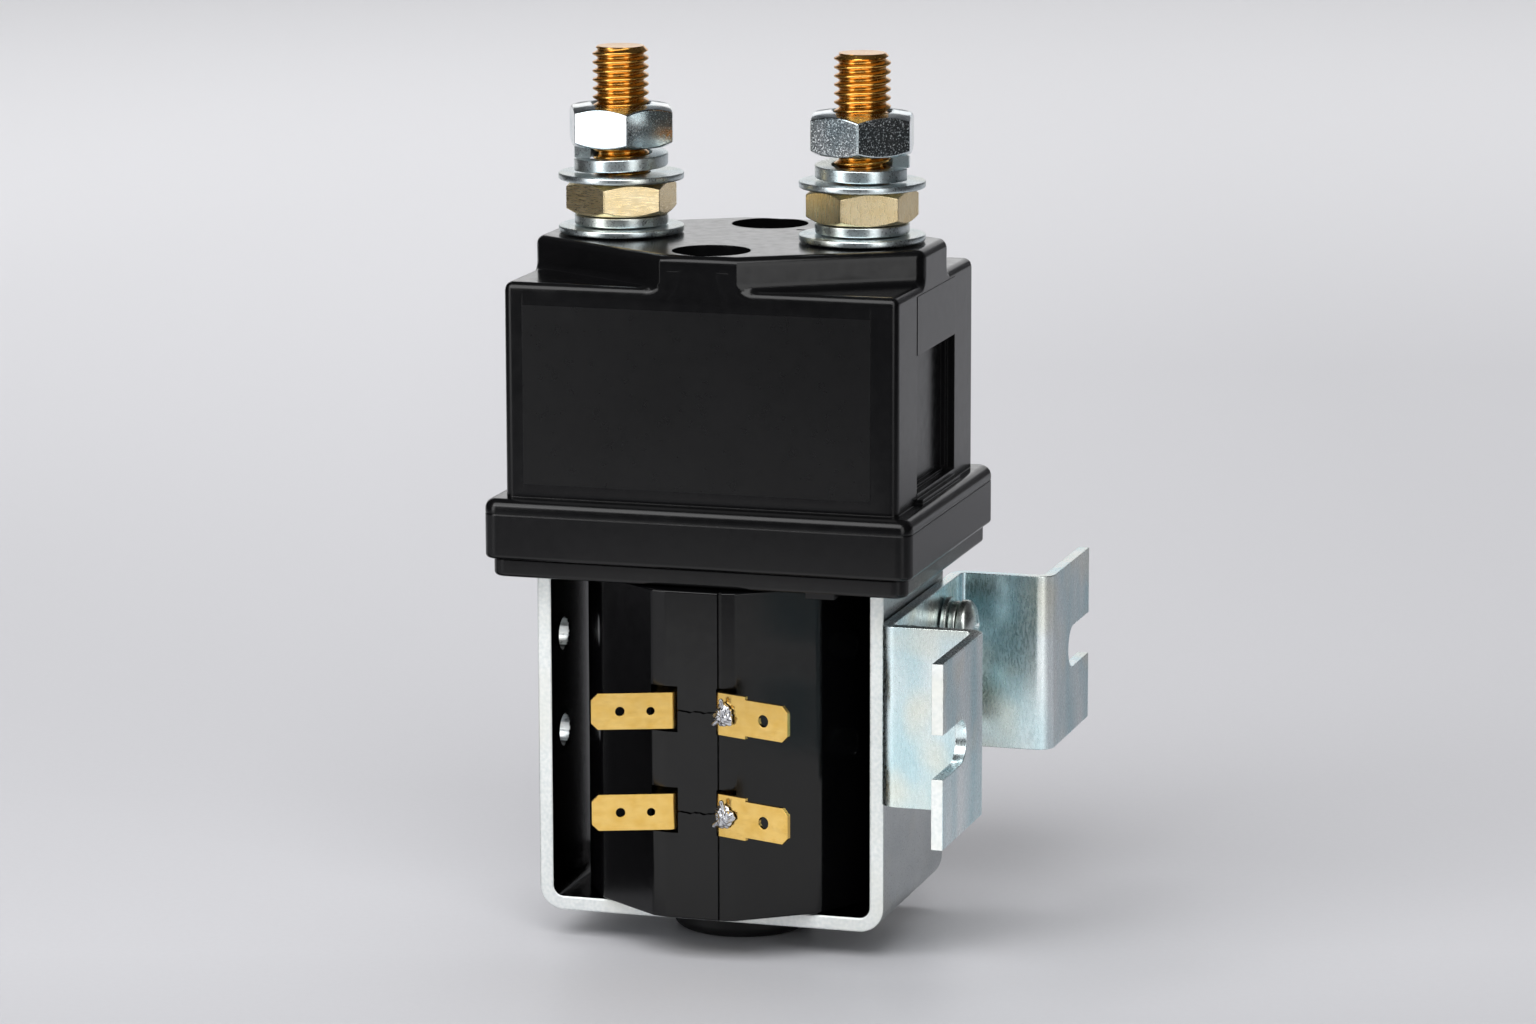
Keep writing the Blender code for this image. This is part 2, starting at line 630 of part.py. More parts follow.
def make_coil():
    """Bobbin, winding and the moulding round them."""
    bobbin = [
        (BOBBIN_RADIUS, COIL_TOP),
        (BOBBIN_RADIUS, COIL_TOP - BOBBIN_FLANGE),
        (TUBE_HOLE + BOBBIN_WALL, COIL_TOP - BOBBIN_FLANGE),
        (TUBE_HOLE + BOBBIN_WALL, COIL_BOTTOM + BOBBIN_FLANGE),
        (BOBBIN_RADIUS, COIL_BOTTOM + BOBBIN_FLANGE),
        (BOBBIN_RADIUS, COIL_BOTTOM),
        (TUBE_HOLE, COIL_BOTTOM),
        (TUBE_HOLE, COIL_TOP),
    ]
    turned("coil_bobbin", bobbin, "bobbin_nylon", ROUND_STEPS, True)
    ring("coil_winding", WINDING_RADIUS, TUBE_HOLE + BOBBIN_WALL + GAP,
         COIL_BOTTOM + BOBBIN_FLANGE + GAP, COIL_TOP - BOBBIN_FLANGE - GAP,
         "enamelled_wire")
    housing = prism("coil_housing", housing_outline(), COIL_BOTTOM, COIL_TOP,
                    "coil_moulding")
    bore = HOUSING_RADIUS - HOUSING_WALL
    boolean(housing, cylinder("coil_cutter", bore, 0, PLATEAU, steps=FINE_STEPS))
    deep = -RIDGE_FRONT + BAR_THICKNESS + BLADE_SHEET + 2 * GAP
    bar = BLADE_SHEET / 2 + GAP
    for level in blade_levels():
        low = level - WINDOW_HEIGHT / 2
        high = level + WINDOW_HEIGHT / 2
        left = box("window_cutter", (-WINDOW_SIDE, -2 * RIDGE_FRONT, low),
                   (-LEG_LEFT + bar, deep, high))
        right = box("window_cutter", (LEG_RIGHT - bar, -2 * RIDGE_FRONT, low),
                    (WINDOW_SIDE, deep, high))
        low = level - BLADE_WIDTH / 2 - GAP
        high = level + BLADE_WIDTH / 2 + GAP
        slot = box("strip_cutter", (-LEG_LEFT, -RIDGE_FRONT + BAR_THICKNESS, low),
                   (LEG_RIGHT, deep + GAP, high))
        for cutter in (left, right, slot):
            boolean(housing, cutter)


def blade_levels():
    """Heights of the middle of the two blade terminals."""
    return (BLADE_LOW, BLADE_LOW + BLADE_PITCH)


def blade_place(side, leg, along_x):
    """A point on the middle of a blade, this far from the middle plane along X."""
    run = along_x - leg
    return Vector((side * along_x, -BLADE_FRONT - run * math.tan(BLADE_SPLAY)))


def blade_frame(side, leg, along_x, level):
    """Axes of a blade at a point on it: X along the blade, Y through the sheet."""
    place = blade_place(side, leg, along_x)
    turn = math.pi + BLADE_SPLAY if side < 0 else -BLADE_SPLAY
    return Matrix.Translation((place.x, place.y, level)) @ Matrix.Rotation(turn, 4, "Z")


def oriented(name, low, high, frame, material=None):
    """A box made between two corners and then carried by a frame."""
    piece = box(name, low, high, material)
    piece.data.transform(frame)
    return piece


def make_terminal(name, level):
    """One brass strip: a middle behind the bar and a splayed blade at each end."""
    behind = -RIDGE_FRONT + BAR_THICKNESS + GAP + BLADE_SHEET / 2
    corners = [blade_place(-1, LEG_LEFT, TIP_LEFT), (-LEG_LEFT, -BLADE_FRONT),
               (-LEG_LEFT, behind), (LEG_RIGHT, behind), (LEG_RIGHT, -BLADE_FRONT),
               blade_place(1, LEG_RIGHT, TIP_RIGHT)]
    outline = sheet_outline(bent_path(corners, BLADE_BEND, 3), BLADE_SHEET)
    half = SHOULDER_WIDTH / 2
    strip = prism(name, outline, level - half, level + half, "brass")
    far = 2 * TIP_RIGHT
    narrow = BLADE_WIDTH / 2
    after = blade_frame(1, LEG_RIGHT, SHOULDER_END, level)
    for side in (-1, 1):
        low = min(side * narrow, side * far)
        high = max(side * narrow, side * far)
        left = box("edge_cutter", (-far, -far * 2, level + low), (LEG_RIGHT, 0, level + high))
        right = oriented("edge_cutter", (0, -far, low), (far, far, high), after)
        boolean(strip, left)
        boolean(strip, right)
    size = BLADE_CHAMFER / math.sqrt(2)
    turn = Matrix.Rotation(math.pi / 4, 4, "Y")
    for side, leg, along in ((-1, LEG_LEFT, TIP_LEFT), (1, LEG_RIGHT, TIP_RIGHT)):
        tip = blade_frame(side, leg, along, level)
        for edge in (-1, 1):
            corner = tip @ Matrix.Translation((0, 0, edge * narrow)) @ turn
            boolean(strip, oriented("tip_cutter", (-size, -far, -size), (size, far, size),
                                    corner))
    holes = [(-1, LEG_LEFT, along, radius) for along, radius in LEFT_HOLES]
    holes.append((1, LEG_RIGHT, *RIGHT_HOLE))
    for side, leg, along, radius in holes:
        drill = cylinder("hole_cutter", radius, -far, far, steps=SMALL_STEPS)
        lie = blade_frame(side, leg, along, level) @ Matrix.Rotation(math.pi / 2, 4, "X")
        drill.data.transform(lie)
        boolean(strip, drill)


def make_solder(name, level):
    """A domed solder joint on the shoulder of a right blade."""
    frame = blade_frame(1, LEG_RIGHT, SOLDER_PLACE, level)
    rows = SMALL_STEPS // 4
    points = [Vector((0, -SOLDER_SIZE.y, 0))]
    for row in range(1, rows + 1):
        tilt = math.pi / 2 * row / rows
        for step in range(SMALL_STEPS):
            turn = 2 * math.pi * step / SMALL_STEPS
            x = SOLDER_SIZE.x * math.sin(tilt) * math.cos(turn)
            z = SOLDER_SIZE.z * math.sin(tilt) * math.sin(turn)
            lean = 1 + SOLDER_LOBES * math.sin(3 * math.atan2(z, x) + 1)
            points.append(Vector((x * lean, -SOLDER_SIZE.y * math.cos(tilt), z * lean)))
    faces = []
    for step in range(SMALL_STEPS):
        after = (step + 1) % SMALL_STEPS
        faces.append((0, 1 + step, 1 + after))
        for row in range(rows - 1):
            inner = 1 + row * SMALL_STEPS
            outer = inner + SMALL_STEPS
            faces.append((inner + step, outer + step, outer + after))
            faces.append((inner + step, outer + after, inner + after))
    rim = 1 + (rows - 1) * SMALL_STEPS
    faces.append([rim + step for step in reversed(range(SMALL_STEPS))])
    mesh = bpy.data.meshes.new(name)
    mesh.from_pydata(points, [], faces)
    mesh.transform(frame @ Matrix.Translation((0, -BLADE_SHEET / 2 - GAP, 0)))
    add(name, mesh, "solder", smooth=True)


def make_cap():
    """The round cap: a cup that closes the lower end of the guide tube."""
    centre = Vector((CAP_RADIUS - CAP_EDGE, CAP_EDGE))
    edge = arc(centre, CAP_EDGE, 0, -math.pi / 2, ARC_STEPS)
    profile = [(0, CAP_FLOOR), (TUBE_HOLE, CAP_FLOOR), (TUBE_HOLE, CAP_HEIGHT),
               (CAP_RADIUS, CAP_HEIGHT)]
    profile += [(p.x, p.y) for p in edge]
    profile.append((0, 0))
    turned("end_cap", profile, "cap_moulding", FINE_STEPS)


def make_plunger():
    """Guide tube, fixed pole, plunger, its shaft and the return spring."""
    ring("guide_tube", TUBE_RADIUS, TUBE_BORE, PLUNGER_BOTTOM, COIL_TOP - TUBE_SHORT,
         "brass")
    bore = SHAFT_RADIUS + GAP
    pole = [
        (POLE_SPIGOT_RADIUS, PLATE_TOP),
        (POLE_SPIGOT_RADIUS, PLATE_BOTTOM - GAP),
        (POLE_RADIUS, PLATE_BOTTOM - GAP),
        (POLE_RADIUS, POLE_BOTTOM + EDGE),
        (POLE_RADIUS - EDGE, POLE_BOTTOM),
        (SPRING_POCKET_RADIUS, POLE_BOTTOM),
        (SPRING_POCKET_RADIUS, POLE_POCKET_TOP),
        (bore, POLE_POCKET_TOP),
        (bore, PLATE_TOP),
    ]
    turned("pole_core", pole, "bare_steel", ROUND_STEPS, True)
    plunger = [
        (0, SHAFT_BOTTOM - GAP),
        (bore, SHAFT_BOTTOM - GAP),
        (bore, PLUNGER_POCKET_FLOOR),
        (SPRING_POCKET_RADIUS, PLUNGER_POCKET_FLOOR),
        (SPRING_POCKET_RADIUS, PLUNGER_TOP),
        (PLUNGER_RADIUS - EDGE, PLUNGER_TOP),
        (PLUNGER_RADIUS, PLUNGER_TOP - EDGE),
        (PLUNGER_RADIUS, PLUNGER_BOTTOM + EDGE),
        (PLUNGER_RADIUS - EDGE, PLUNGER_BOTTOM),
        (0, PLUNGER_BOTTOM),
    ]
    turned("plunger", plunger, "bare_steel")
    groove = SHAFT_NECK - SHAFT_GROOVE
    shaft = [
        (0, SHAFT_TOP),
        (SHAFT_NECK - EDGE, SHAFT_TOP),
        (SHAFT_NECK, SHAFT_TOP - EDGE),
        (SHAFT_NECK, CLIP_BOTTOM + CLIP + GAP),
        (groove, CLIP_BOTTOM + CLIP + GAP),
        (groove, CLIP_BOTTOM - GAP),
        (SHAFT_NECK, CLIP_BOTTOM - GAP),
        (SHAFT_NECK, SHAFT_STEP),
        (SHAFT_RADIUS, SHAFT_STEP),
        (SHAFT_RADIUS, SHAFT_BOTTOM),
        (0, SHAFT_BOTTOM),
    ]
    turned("plunger_shaft", shaft, "bare_steel", SMALL_STEPS)
    helix("return_spring", RETURN_RADIUS, RETURN_WIRE, PLUNGER_POCKET_FLOOR + GAP,
          POLE_POCKET_TOP - GAP, RETURN_TURNS, "spring_steel")


def make_bridge():
    """The moving contact, what carries it on the shaft and its spring."""
    ring("spring_seat", SPRING_SEAT_RADIUS, SHAFT_NECK + GAP, SEAT_BOTTOM, SEAT_TOP,
         "zinc_plate", steps=SMALL_STEPS)
    helix("contact_spring", CONTACT_SPRING_RADIUS, CONTACT_WIRE, SEAT_TOP + GAP,
          BUSH_BOTTOM - GAP, CONTACT_TURNS, "spring_steel")
    bore = SHAFT_NECK + GAP
    sleeve = bore + BUSH_WALL
    bush = [
        (sleeve, BRIDGE_TOP),
        (sleeve, BRIDGE_BOTTOM - GAP),
        (BUSH_RADIUS, BRIDGE_BOTTOM - GAP),
        (BUSH_RADIUS, BUSH_BOTTOM),
        (bore, BUSH_BOTTOM),
        (bore, BRIDGE_TOP),
    ]
    turned("bridge_bush", bush, "bobbin_nylon", SMALL_STEPS, True)
    half = BRIDGE_LENGTH / 2
    side = BRIDGE_WIDTH / 2
    end = Vector((half - side, 0))
    right = arc(end, side, -math.pi / 2, math.pi / 2, SMALL_STEPS // 2)
    left = arc(-end, side, math.pi / 2, 3 * math.pi / 2, SMALL_STEPS // 2)
    bridge = prism("moving_contact", right + left, BRIDGE_BOTTOM, BRIDGE_TOP, "copper")
    boolean(bridge, cylinder("bush_cutter", sleeve + GAP, 0, PLATEAU, steps=SMALL_STEPS))
    low = BRIDGE_TIP_TOP - TIP
    for side, x in stud_places():
        tip = turned("bridge_tip_" + side, [
            (0, TIP), (TIP_RADIUS - EDGE, TIP),
            (TIP_RADIUS, TIP - EDGE), (TIP_RADIUS, 0), (0, 0),
        ], "silver_tip", SMALL_STEPS)
        tip.location = (x, 0, low)
    clip = split_ring("shaft_clip", CLIP_RADIUS, CLIP_RADIUS - SHAFT_NECK + SHAFT_GROOVE / 2,
                      CLIP, "spring_steel", 0, CLIP_OPENING)
    clip.location.z = CLIP_BOTTOM


def stud_places():
    """Name and X of each stud."""
    return [(name, stack[0] * STUD_SPACING / 2) for name, stack in STACKS.items()]


def make_nut(name, height, place, turn, material):
    """A hexagon nut with chamfered corners and a plain bore."""
    corner = NUT_FLATS / math.sqrt(3)
    face = NUT_FACE * NUT_FLATS / 2
    outside = corner + GAP
    drop = (outside - face) * math.tan(NUT_SLOPE)
    bore = STUD_RADIUS + GAP
    nut = prism(name, hexagon(corner, turn), 0, height, material)
    envelope = turned(name + "_envelope", [
        (face, height), (outside, height - drop), (outside, drop), (face, 0),
        (bore + NUT_LEAD, 0), (bore, NUT_LEAD), (bore, height - NUT_LEAD),
        (bore + NUT_LEAD, height),
    ], None, ROUND_STEPS, True)
    for piece in (nut, envelope):
        piece.location = place
    boolean(nut, envelope, "INTERSECT")


def make_stud_stack(side, x):
    """One stud with its contact tip, washers and nuts."""
    brass_turn, steel_turn, start, way, late = STACKS[side][1:]
    top = PLATEAU + STUD_HEIGHT
    stud = turned("contact_stud_" + side, [
        (0, top), (STUD_RADIUS - STUD_CHAMFER, top), (STUD_RADIUS, top - STUD_CHAMFER),
        (STUD_RADIUS, STUD_HEAD_TOP), (STUD_HEAD_RADIUS, STUD_HEAD_TOP),
        (STUD_HEAD_RADIUS, STUD_HEAD_TOP - STUD_HEAD),
        (STUD_FOOT_RADIUS, STUD_HEAD_TOP - STUD_HEAD),
        (STUD_FOOT_RADIUS, STUD_FOOT_BOTTOM), (0, STUD_FOOT_BOTTOM),
    ], "brass")
    stud.location.x = x
    tip = turned("stud_tip_" + side, [
        (0, TIP), (TIP_RADIUS, TIP), (TIP_RADIUS, EDGE), (TIP_RADIUS - EDGE, 0), (0, 0),
    ], "silver_tip", SMALL_STEPS)
    tip.location = (x, 0, STUD_TIP_BOTTOM)
    bore = STUD_RADIUS + GAP
    level = PLATEAU + GAP
    base = ring("base_washer_" + side, WASHER_RADIUS, bore, 0, WASHER, "zinc_plate",
                WASHER_EDGE)
    base.location = (x, 0, level)
    level += WASHER + GAP
    lock = split_ring("lower_spring_washer_" + side, LOCK_RADIUS, LOCK_WIDTH, LOCK_FLAT,
                      "zinc_plate", LOCK_FLAT_START, LOCK_CUT, steps=ROUND_STEPS)
    lock.location = (x, 0, level)
    level += LOCK_FLAT + GAP
    make_nut("brass_nut_" + side, BRASS_NUT, (x, 0, level), brass_turn, "pale_brass")
    level += BRASS_NUT + GAP
    upper = ring("upper_washer_" + side, WASHER_RADIUS, bore, 0, WASHER, "zinc_plate",
                 WASHER_EDGE)
    upper.location = (x, 0, level)
    level += WASHER + GAP
    lock = split_ring("upper_spring_washer_" + side, LOCK_RADIUS, LOCK_WIDTH, LOCK_OPEN,
                      "zinc_plate", start, LOCK_CUT, LOCK_RISE, way, late, ROUND_STEPS)
    lock.location = (x, 0, level)
    level += LOCK_OPEN + LOCK_RISE + GAP
    make_nut("terminal_nut_" + side, STEEL_NUT, (x, 0, level), steel_turn, "zinc_plate")


def make_base():
    """The moulding under the cover, recessed for the pole plate."""
    base = rounded_block("base_moulding", TRAY_WIDTH, TRAY_DEPTH, PLATE_BOTTOM, TRAY_TOP,
                         FLANGE_CORNER, 0, FLANGE_BOTTOM_ROUND, "black_moulding")
    inset = 2 * GAP
    step = rounded_block("step_union", REBATE_WIDTH - inset, REBATE_DEPTH - inset,
                         TRAY_TOP - OVERLAP, REBATE_TOP, FLANGE_CORNER, 0, 0)
    upstand = rounded_block("upstand_union", CAVITY_WIDTH - inset, CAVITY_DEPTH - inset,
                            REBATE_TOP - OVERLAP, BASE_TOP, FLANGE_CORNER, 0, 0)
    boolean(base, step, "UNION")
    boolean(base, upstand, "UNION")
    half_x = ARM_FACE + GAP
    half_y = YOKE_DEPTH / 2 + GAP
    recess = box("recess_cutter", (-half_x, -half_y, 0), (half_x, half_y, PLATE_TOP + GAP))
    boolean(base, recess)
    boolean(base, cylinder("shaft_cutter", SHAFT_RADIUS + 2 * GAP, 0, PLATEAU,
                           steps=SMALL_STEPS))
    for side in (-1, 1):
        drill = cylinder("screw_cutter", COVER_SCREW_RADIUS + GAP, 0, PLATEAU,
                         (0, side * WELL_PLACE), steps=SMALL_STEPS)
        boolean(base, drill)


def shoulder_cutter(side_x, side_y):
    """The wedge taken off one corner above a shoulder."""
    end = Vector((side_x * BODY_WIDTH / 2, side_y * PLATEAU_END / 2))
    front = Vector((side_x * PLATEAU_FRONT / 2, side_y * BODY_DEPTH / 2))
    along = (front - end).normalized()
    far = 4 * BODY_ROUND
    outline = [end - along * far, front + along * far,
               front + along * far + Vector((side_x, side_y)) * BODY_DEPTH,
               end - along * far + Vector((side_x, side_y)) * BODY_DEPTH]
    return prism("shoulder_cutter", outline, SHOULDER, PLATEAU + FLANGE_HEIGHT)


def well_outline(side):
    """Plan of the wall round a screw well, joined to the front or back wall."""
    radius = WELL_RADIUS + WELL_WALL
    wall = side * (BODY_DEPTH / 2 - FRONT_WALL / 2)
    centre = Vector((0, side * WELL_PLACE))
    points = arc(centre, radius, 0, -side * math.pi, SMALL_STEPS // 2)
    return points + [Vector((-radius, wall)), Vector((radius, wall))]


def make_cover():
    """The cover: shoulders, plateau, flange, end pockets, wells and a hollow inside."""
    body = Vector((BODY_WIDTH / 2, BODY_DEPTH / 2))
    cover = box("contact_cover", (-body.x, -body.y, FLANGE_TOP - 2 * FLANGE_TOP_ROUND),
                (body.x, body.y, PLATEAU), "black_moulding")
    for side_x in (-1, 1):
        for side_y in (-1, 1):
            boolean(cover, shoulder_cutter(side_x, side_y))
    soften = cover.modifiers.new("Moulded edges", "BEVEL")
    soften.width = BODY_ROUND
    soften.segments = 3
    soften.limit_method = "ANGLE"
    soften.angle_limit = math.radians(40)
    soften.use_clamp_overlap = True
    flange = rounded_block("flange_union", FLANGE_WIDTH, FLANGE_DEPTH, FLANGE_BOTTOM,
                           FLANGE_TOP, FLANGE_CORNER, FLANGE_TOP_ROUND,
                           FLANGE_BOTTOM_ROUND)
    boolean(cover, flange, "UNION")
    proud = body.x + PANEL_PROUD
    panel = box("panel_union", (-proud, -POCKET_WIDTH / 2, FLANGE_TOP - OVERLAP),
                (proud, POCKET_WIDTH / 2, FLANGE_TOP + PANEL_HEIGHT))
    boolean(cover, panel, "UNION")
    cavity = rounded_block("cavity_cutter", CAVITY_WIDTH, CAVITY_DEPTH,
                           REBATE_TOP - OVERLAP, CEILING, FLANGE_CORNER, 0, 0)
    boolean(cover, cavity)
    rebate = rounded_block("rebate_cutter", REBATE_WIDTH, REBATE_DEPTH, 0,
                           REBATE_TOP + GAP, FLANGE_CORNER, 0, 0)
    boolean(cover, rebate)
    for side in (-1, 1):
        pillar = prism("well_union", well_outline(side), BASE_TOP + GAP,
                       CEILING + OVERLAP)
        boolean(cover, pillar, "UNION")
        place = (0, side * WELL_PLACE)
        well = cylinder("well_cutter", WELL_RADIUS, WELL_BOTTOM, PLATEAU + OVERLAP, place)
        boolean(cover, well)
        drill = cylinder("screw_cutter", COVER_SCREW_RADIUS + GAP, 0,
                         WELL_BOTTOM + OVERLAP, place, steps=SMALL_STEPS)
        boolean(cover, drill)
        floor = side * (body.x - POCKET_DEPTH)
        outside = side * BODY_WIDTH
        sill = FLANGE_TOP + POCKET_SILL
        window = box("pocket_cutter", (min(floor, outside), -POCKET_WIDTH / 2, sill),
                     (max(floor, outside), POCKET_WIDTH / 2, sill + POCKET_HEIGHT))
        boolean(cover, window)
    for name, x in stud_places():
        hole = cylinder("stud_cutter", STUD_RADIUS + GAP, CEILING - OVERLAP,
                        PLATEAU + OVERLAP, (x, 0))
        boolean(cover, hole)


def make_cover_screws():
    """The two long screws at the bottom of the wells."""
    head_bottom = WELL_BOTTOM + GAP
    head_top = head_bottom + COVER_HEAD_HEIGHT
    socket = head_top - COVER_SOCKET_DEPTH
    for name, side in (("front", -1), ("back", 1)):
        screw = turned("cover_screw_" + name, [
            (0, socket), (COVER_SOCKET_RADIUS, socket), (COVER_SOCKET_RADIUS, head_top),
            (COVER_HEAD_RADIUS - EDGE, head_top),
            (COVER_HEAD_RADIUS, head_top - EDGE),
            (COVER_HEAD_RADIUS, head_bottom), (COVER_SCREW_RADIUS, head_bottom),
            (COVER_SCREW_RADIUS, PLATE_BOTTOM), (0, PLATE_BOTTOM),
        ], "zinc_plate", SMALL_STEPS)
        screw.location.y = side * WELL_PLACE


def make_bracket():
    """The hat section bracket with its slots and screw holes."""
    middle = BRACKET_SHEET / 2
    back = BRACKET_SEAT + middle
    front = BRACKET_SEAT + BRACKET_REACH - middle
    arm = BRACKET_SPAN / 2 - middle
    tip = BRACKET_LENGTH / 2
    corners = [(front, -tip), (front, -arm), (back, -arm), (back, arm), (front, arm),
               (front, tip)]
    path = bent_path(corners, BRACKET_BEND)
    path = [Vector((p.x, p.y + BRACKET_SHIFT)) for p in path]
    low = HOLE_ROW - BRACKET_HEIGHT / 2
    bracket = prism("mounting_bracket", sheet_outline(path, BRACKET_SHEET), low,
                    low + BRACKET_HEIGHT, "zinc_plate")
    radius = SLOT_WIDTH / 2
    past = SLOT_WIDTH
    for side in (-1, 1):
        end = side * (tip - SLOT_DEPTH + radius)
        curve = arc(Vector((HOLE_ROW, end)), radius, 0, -side * math.pi, SMALL_STEPS // 2)
        mouth = side * (tip + past)
        outline = curve + [Vector((HOLE_ROW - radius, mouth)),
                           Vector((HOLE_ROW + radius, mouth))]
        stand = Matrix(((0, 0, 1, front), (0, 1, 0, BRACKET_SHIFT), (1, 0, 0, 0),
                        (0, 0, 0, 1)))
        boolean(bracket, prism("slot_cutter", outline, -past, past, None, stand))
    for y, z in hole_places():
        drill = cylinder("base_cutter", SCREW_RADIUS + GAP, 0, BRACKET_SEAT + BRACKET_BEND
                         + BRACKET_SHEET, (y, z), "X", SMALL_STEPS)
        boolean(bracket, drill)


def make_bracket_screws():
    """Four pan head screws, each with a spring washer and a plain washer."""
    seat = BRACKET_FACE + GAP
    for number, (y, z) in enumerate(hole_places(), 1):
        lie = (0, math.pi / 2, 0)
        washer = ring(f"bracket_washer_{number}", SCREW_WASHER_RADIUS, SCREW_RADIUS + GAP,
                      0, SCREW_WASHER, "zinc_plate", steps=SMALL_STEPS)
        washer.rotation_euler = lie
        washer.location = (seat, y, z)
        start = seat + SCREW_WASHER + GAP
        spring = split_ring(f"bracket_spring_washer_{number}", SCREW_SPRING_RADIUS,
                            SCREW_SPRING_RADIUS - SCREW_RADIUS - GAP, SCREW_SPRING,
                            "zinc_plate", 0, SCREW_SPRING_CUT)
        spring.rotation_euler = lie
        spring.location = (start, y, z)
        start += SCREW_SPRING + GAP
        dome = [(SCREW_HEAD_RADIUS * p.x, SCREW_RIM + (SCREW_HEAD_HEIGHT - SCREW_RIM) * p.y)
                for p in arc(Vector((0, 0)), 1, math.radians(75), 0, ARC_STEPS)]
        reach = start - (ARM_FACE - YOKE_SHEET - SCREW_REACH)
        profile = [(0, SCREW_HEAD_HEIGHT)] + dome
        profile += [(SCREW_HEAD_RADIUS, 0), (SCREW_RADIUS, 0), (SCREW_RADIUS, -reach),
                    (0, -reach)]
        screw = turned(f"bracket_screw_{number}", profile, "zinc_plate", SMALL_STEPS)
        screw.rotation_euler = lie
        screw.location = (start, y, z)


def main():
    global model, cutters
    for thing in list(bpy.data.objects):
        bpy.data.objects.remove(thing, do_unlink=True)
    model = bpy.data.collections.new("dc_contactor")
    cutters = bpy.data.collections.new("cutters")
    for collection in (model, cutters):
        bpy.context.scene.collection.children.link(collection)
    make_cap()
    make_yoke()
    make_plate()
    make_coil()
    for name, level in zip(("lower", "upper"), blade_levels()):
        make_terminal("coil_terminal_" + name, level)
        make_solder("solder_joint_" + name, level)
    make_plunger()
    make_bridge()
    make_base()
    make_cover()
    make_cover_screws()
    for side, x in stud_places():
        make_stud_stack(side, x)
    make_bracket()
    make_bracket_screws()


main()
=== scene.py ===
# %% [markdown]
# # High voltage dc contactor
#
# The contactor stands on its round end cap. A black cover with two brass studs sits on a
# plated steel frame that holds the coil, and a hat bracket is screwed to one arm of it.
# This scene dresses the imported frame: it makes the pieces that are seen again with their
# real edges, threads and marks. Of the pieces inside, only the two springs are made again.
# Every shape below is worked out in millimetres, and the mesh is made in metres.

import json
import math

import bmesh
import bpy
import numpy as np
from mathutils import Matrix, Vector


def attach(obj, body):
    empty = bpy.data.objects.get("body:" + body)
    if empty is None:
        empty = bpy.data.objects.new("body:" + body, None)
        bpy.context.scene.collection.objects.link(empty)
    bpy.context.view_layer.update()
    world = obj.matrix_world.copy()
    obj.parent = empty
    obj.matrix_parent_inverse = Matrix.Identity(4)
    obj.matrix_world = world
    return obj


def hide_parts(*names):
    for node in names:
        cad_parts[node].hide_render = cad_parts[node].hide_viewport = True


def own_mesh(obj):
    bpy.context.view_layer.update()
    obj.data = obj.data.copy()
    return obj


MM = 0.001
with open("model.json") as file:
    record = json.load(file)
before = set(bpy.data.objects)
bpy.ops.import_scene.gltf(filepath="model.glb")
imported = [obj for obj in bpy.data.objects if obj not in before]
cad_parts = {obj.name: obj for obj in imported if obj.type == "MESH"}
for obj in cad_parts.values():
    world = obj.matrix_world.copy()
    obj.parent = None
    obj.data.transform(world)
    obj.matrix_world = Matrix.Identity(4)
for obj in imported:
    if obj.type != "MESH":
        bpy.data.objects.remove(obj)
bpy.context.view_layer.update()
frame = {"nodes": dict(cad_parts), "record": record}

# %% [markdown]
# ## Finishes
#
# A colour is given as its sRGB code and turned into linear light once. One small function
# adds a shader node, with its settings and its inputs, and the rest is each finish's own.
# Patterns use Object coordinates, in metres, so their scales come from real millimetres.

# %%
finishes = {}


def srgb(code):
    """Linear colour of an sRGB code: c / 12.92 below 0.04045, else ((c + 0.055) / 1.055)^2.4."""
    c = np.array([int(code[i:i + 2], 16) for i in (0, 2, 4)]) / 255
    light = np.where(c <= 0.04045, c / 12.92, ((c + 0.055) / 1.055) ** 2.4)
    return (*light.tolist(), 1.0)


def add(tree, kind, inputs=None, **settings):
    """Add a node, or take one, set its settings, then link or set each input named."""
    node = tree.nodes.new(kind) if isinstance(kind, str) else kind
    for key, value in settings.items():
        setattr(node, key, value)
    for key, value in (inputs or {}).items():
        if isinstance(value, bpy.types.NodeSocket):
            tree.links.new(value, node.inputs[key])
        else:
            node.inputs[key].default_value = value
    return node


def start(name):
    """A new material, kept by name, with its tree, its shader and the Object coordinates."""
    finishes[name] = material = bpy.data.materials.new(name)
    material.use_nodes = True
    tree = material.node_tree
    shader = tree.nodes["Principled BSDF"]
    place = add(tree, "ShaderNodeTexCoord").outputs["Object"]
    return material, tree, shader, place


def noise(tree, place, size, detail=3.0, roughness=0.55, stretch=(1, 1, 1)):
    """Noise with features of about size millimetres, drawn out by stretch along each axis."""
    scale = [1 / (size * MM * s) for s in stretch]
    spread = add(tree, "ShaderNodeMapping", {"Vector": place, "Scale": scale})
    made = add(tree, "ShaderNodeTexNoise", {"Vector": spread.outputs[0], "Scale": 1.0,
                                            "Detail": detail, "Roughness": roughness})
    return made.outputs["Fac"]


def between(tree, value, low=0.0, high=1.0, start_at=0.3, end_at=0.7):
    """A value spread over start_at to end_at, mapped to low to high."""
    made = add(tree, "ShaderNodeMapRange", {"Value": value, "From Min": start_at,
                                            "From Max": end_at, "To Min": low, "To Max": high})
    return made.outputs[0]


def blend(tree, share, first, second):
    """Two colours, or sockets, mixed by a share."""
    made = add(tree, "ShaderNodeMix", {0: share, 6: first, 7: second}, data_type="RGBA")
    return made.outputs[2]


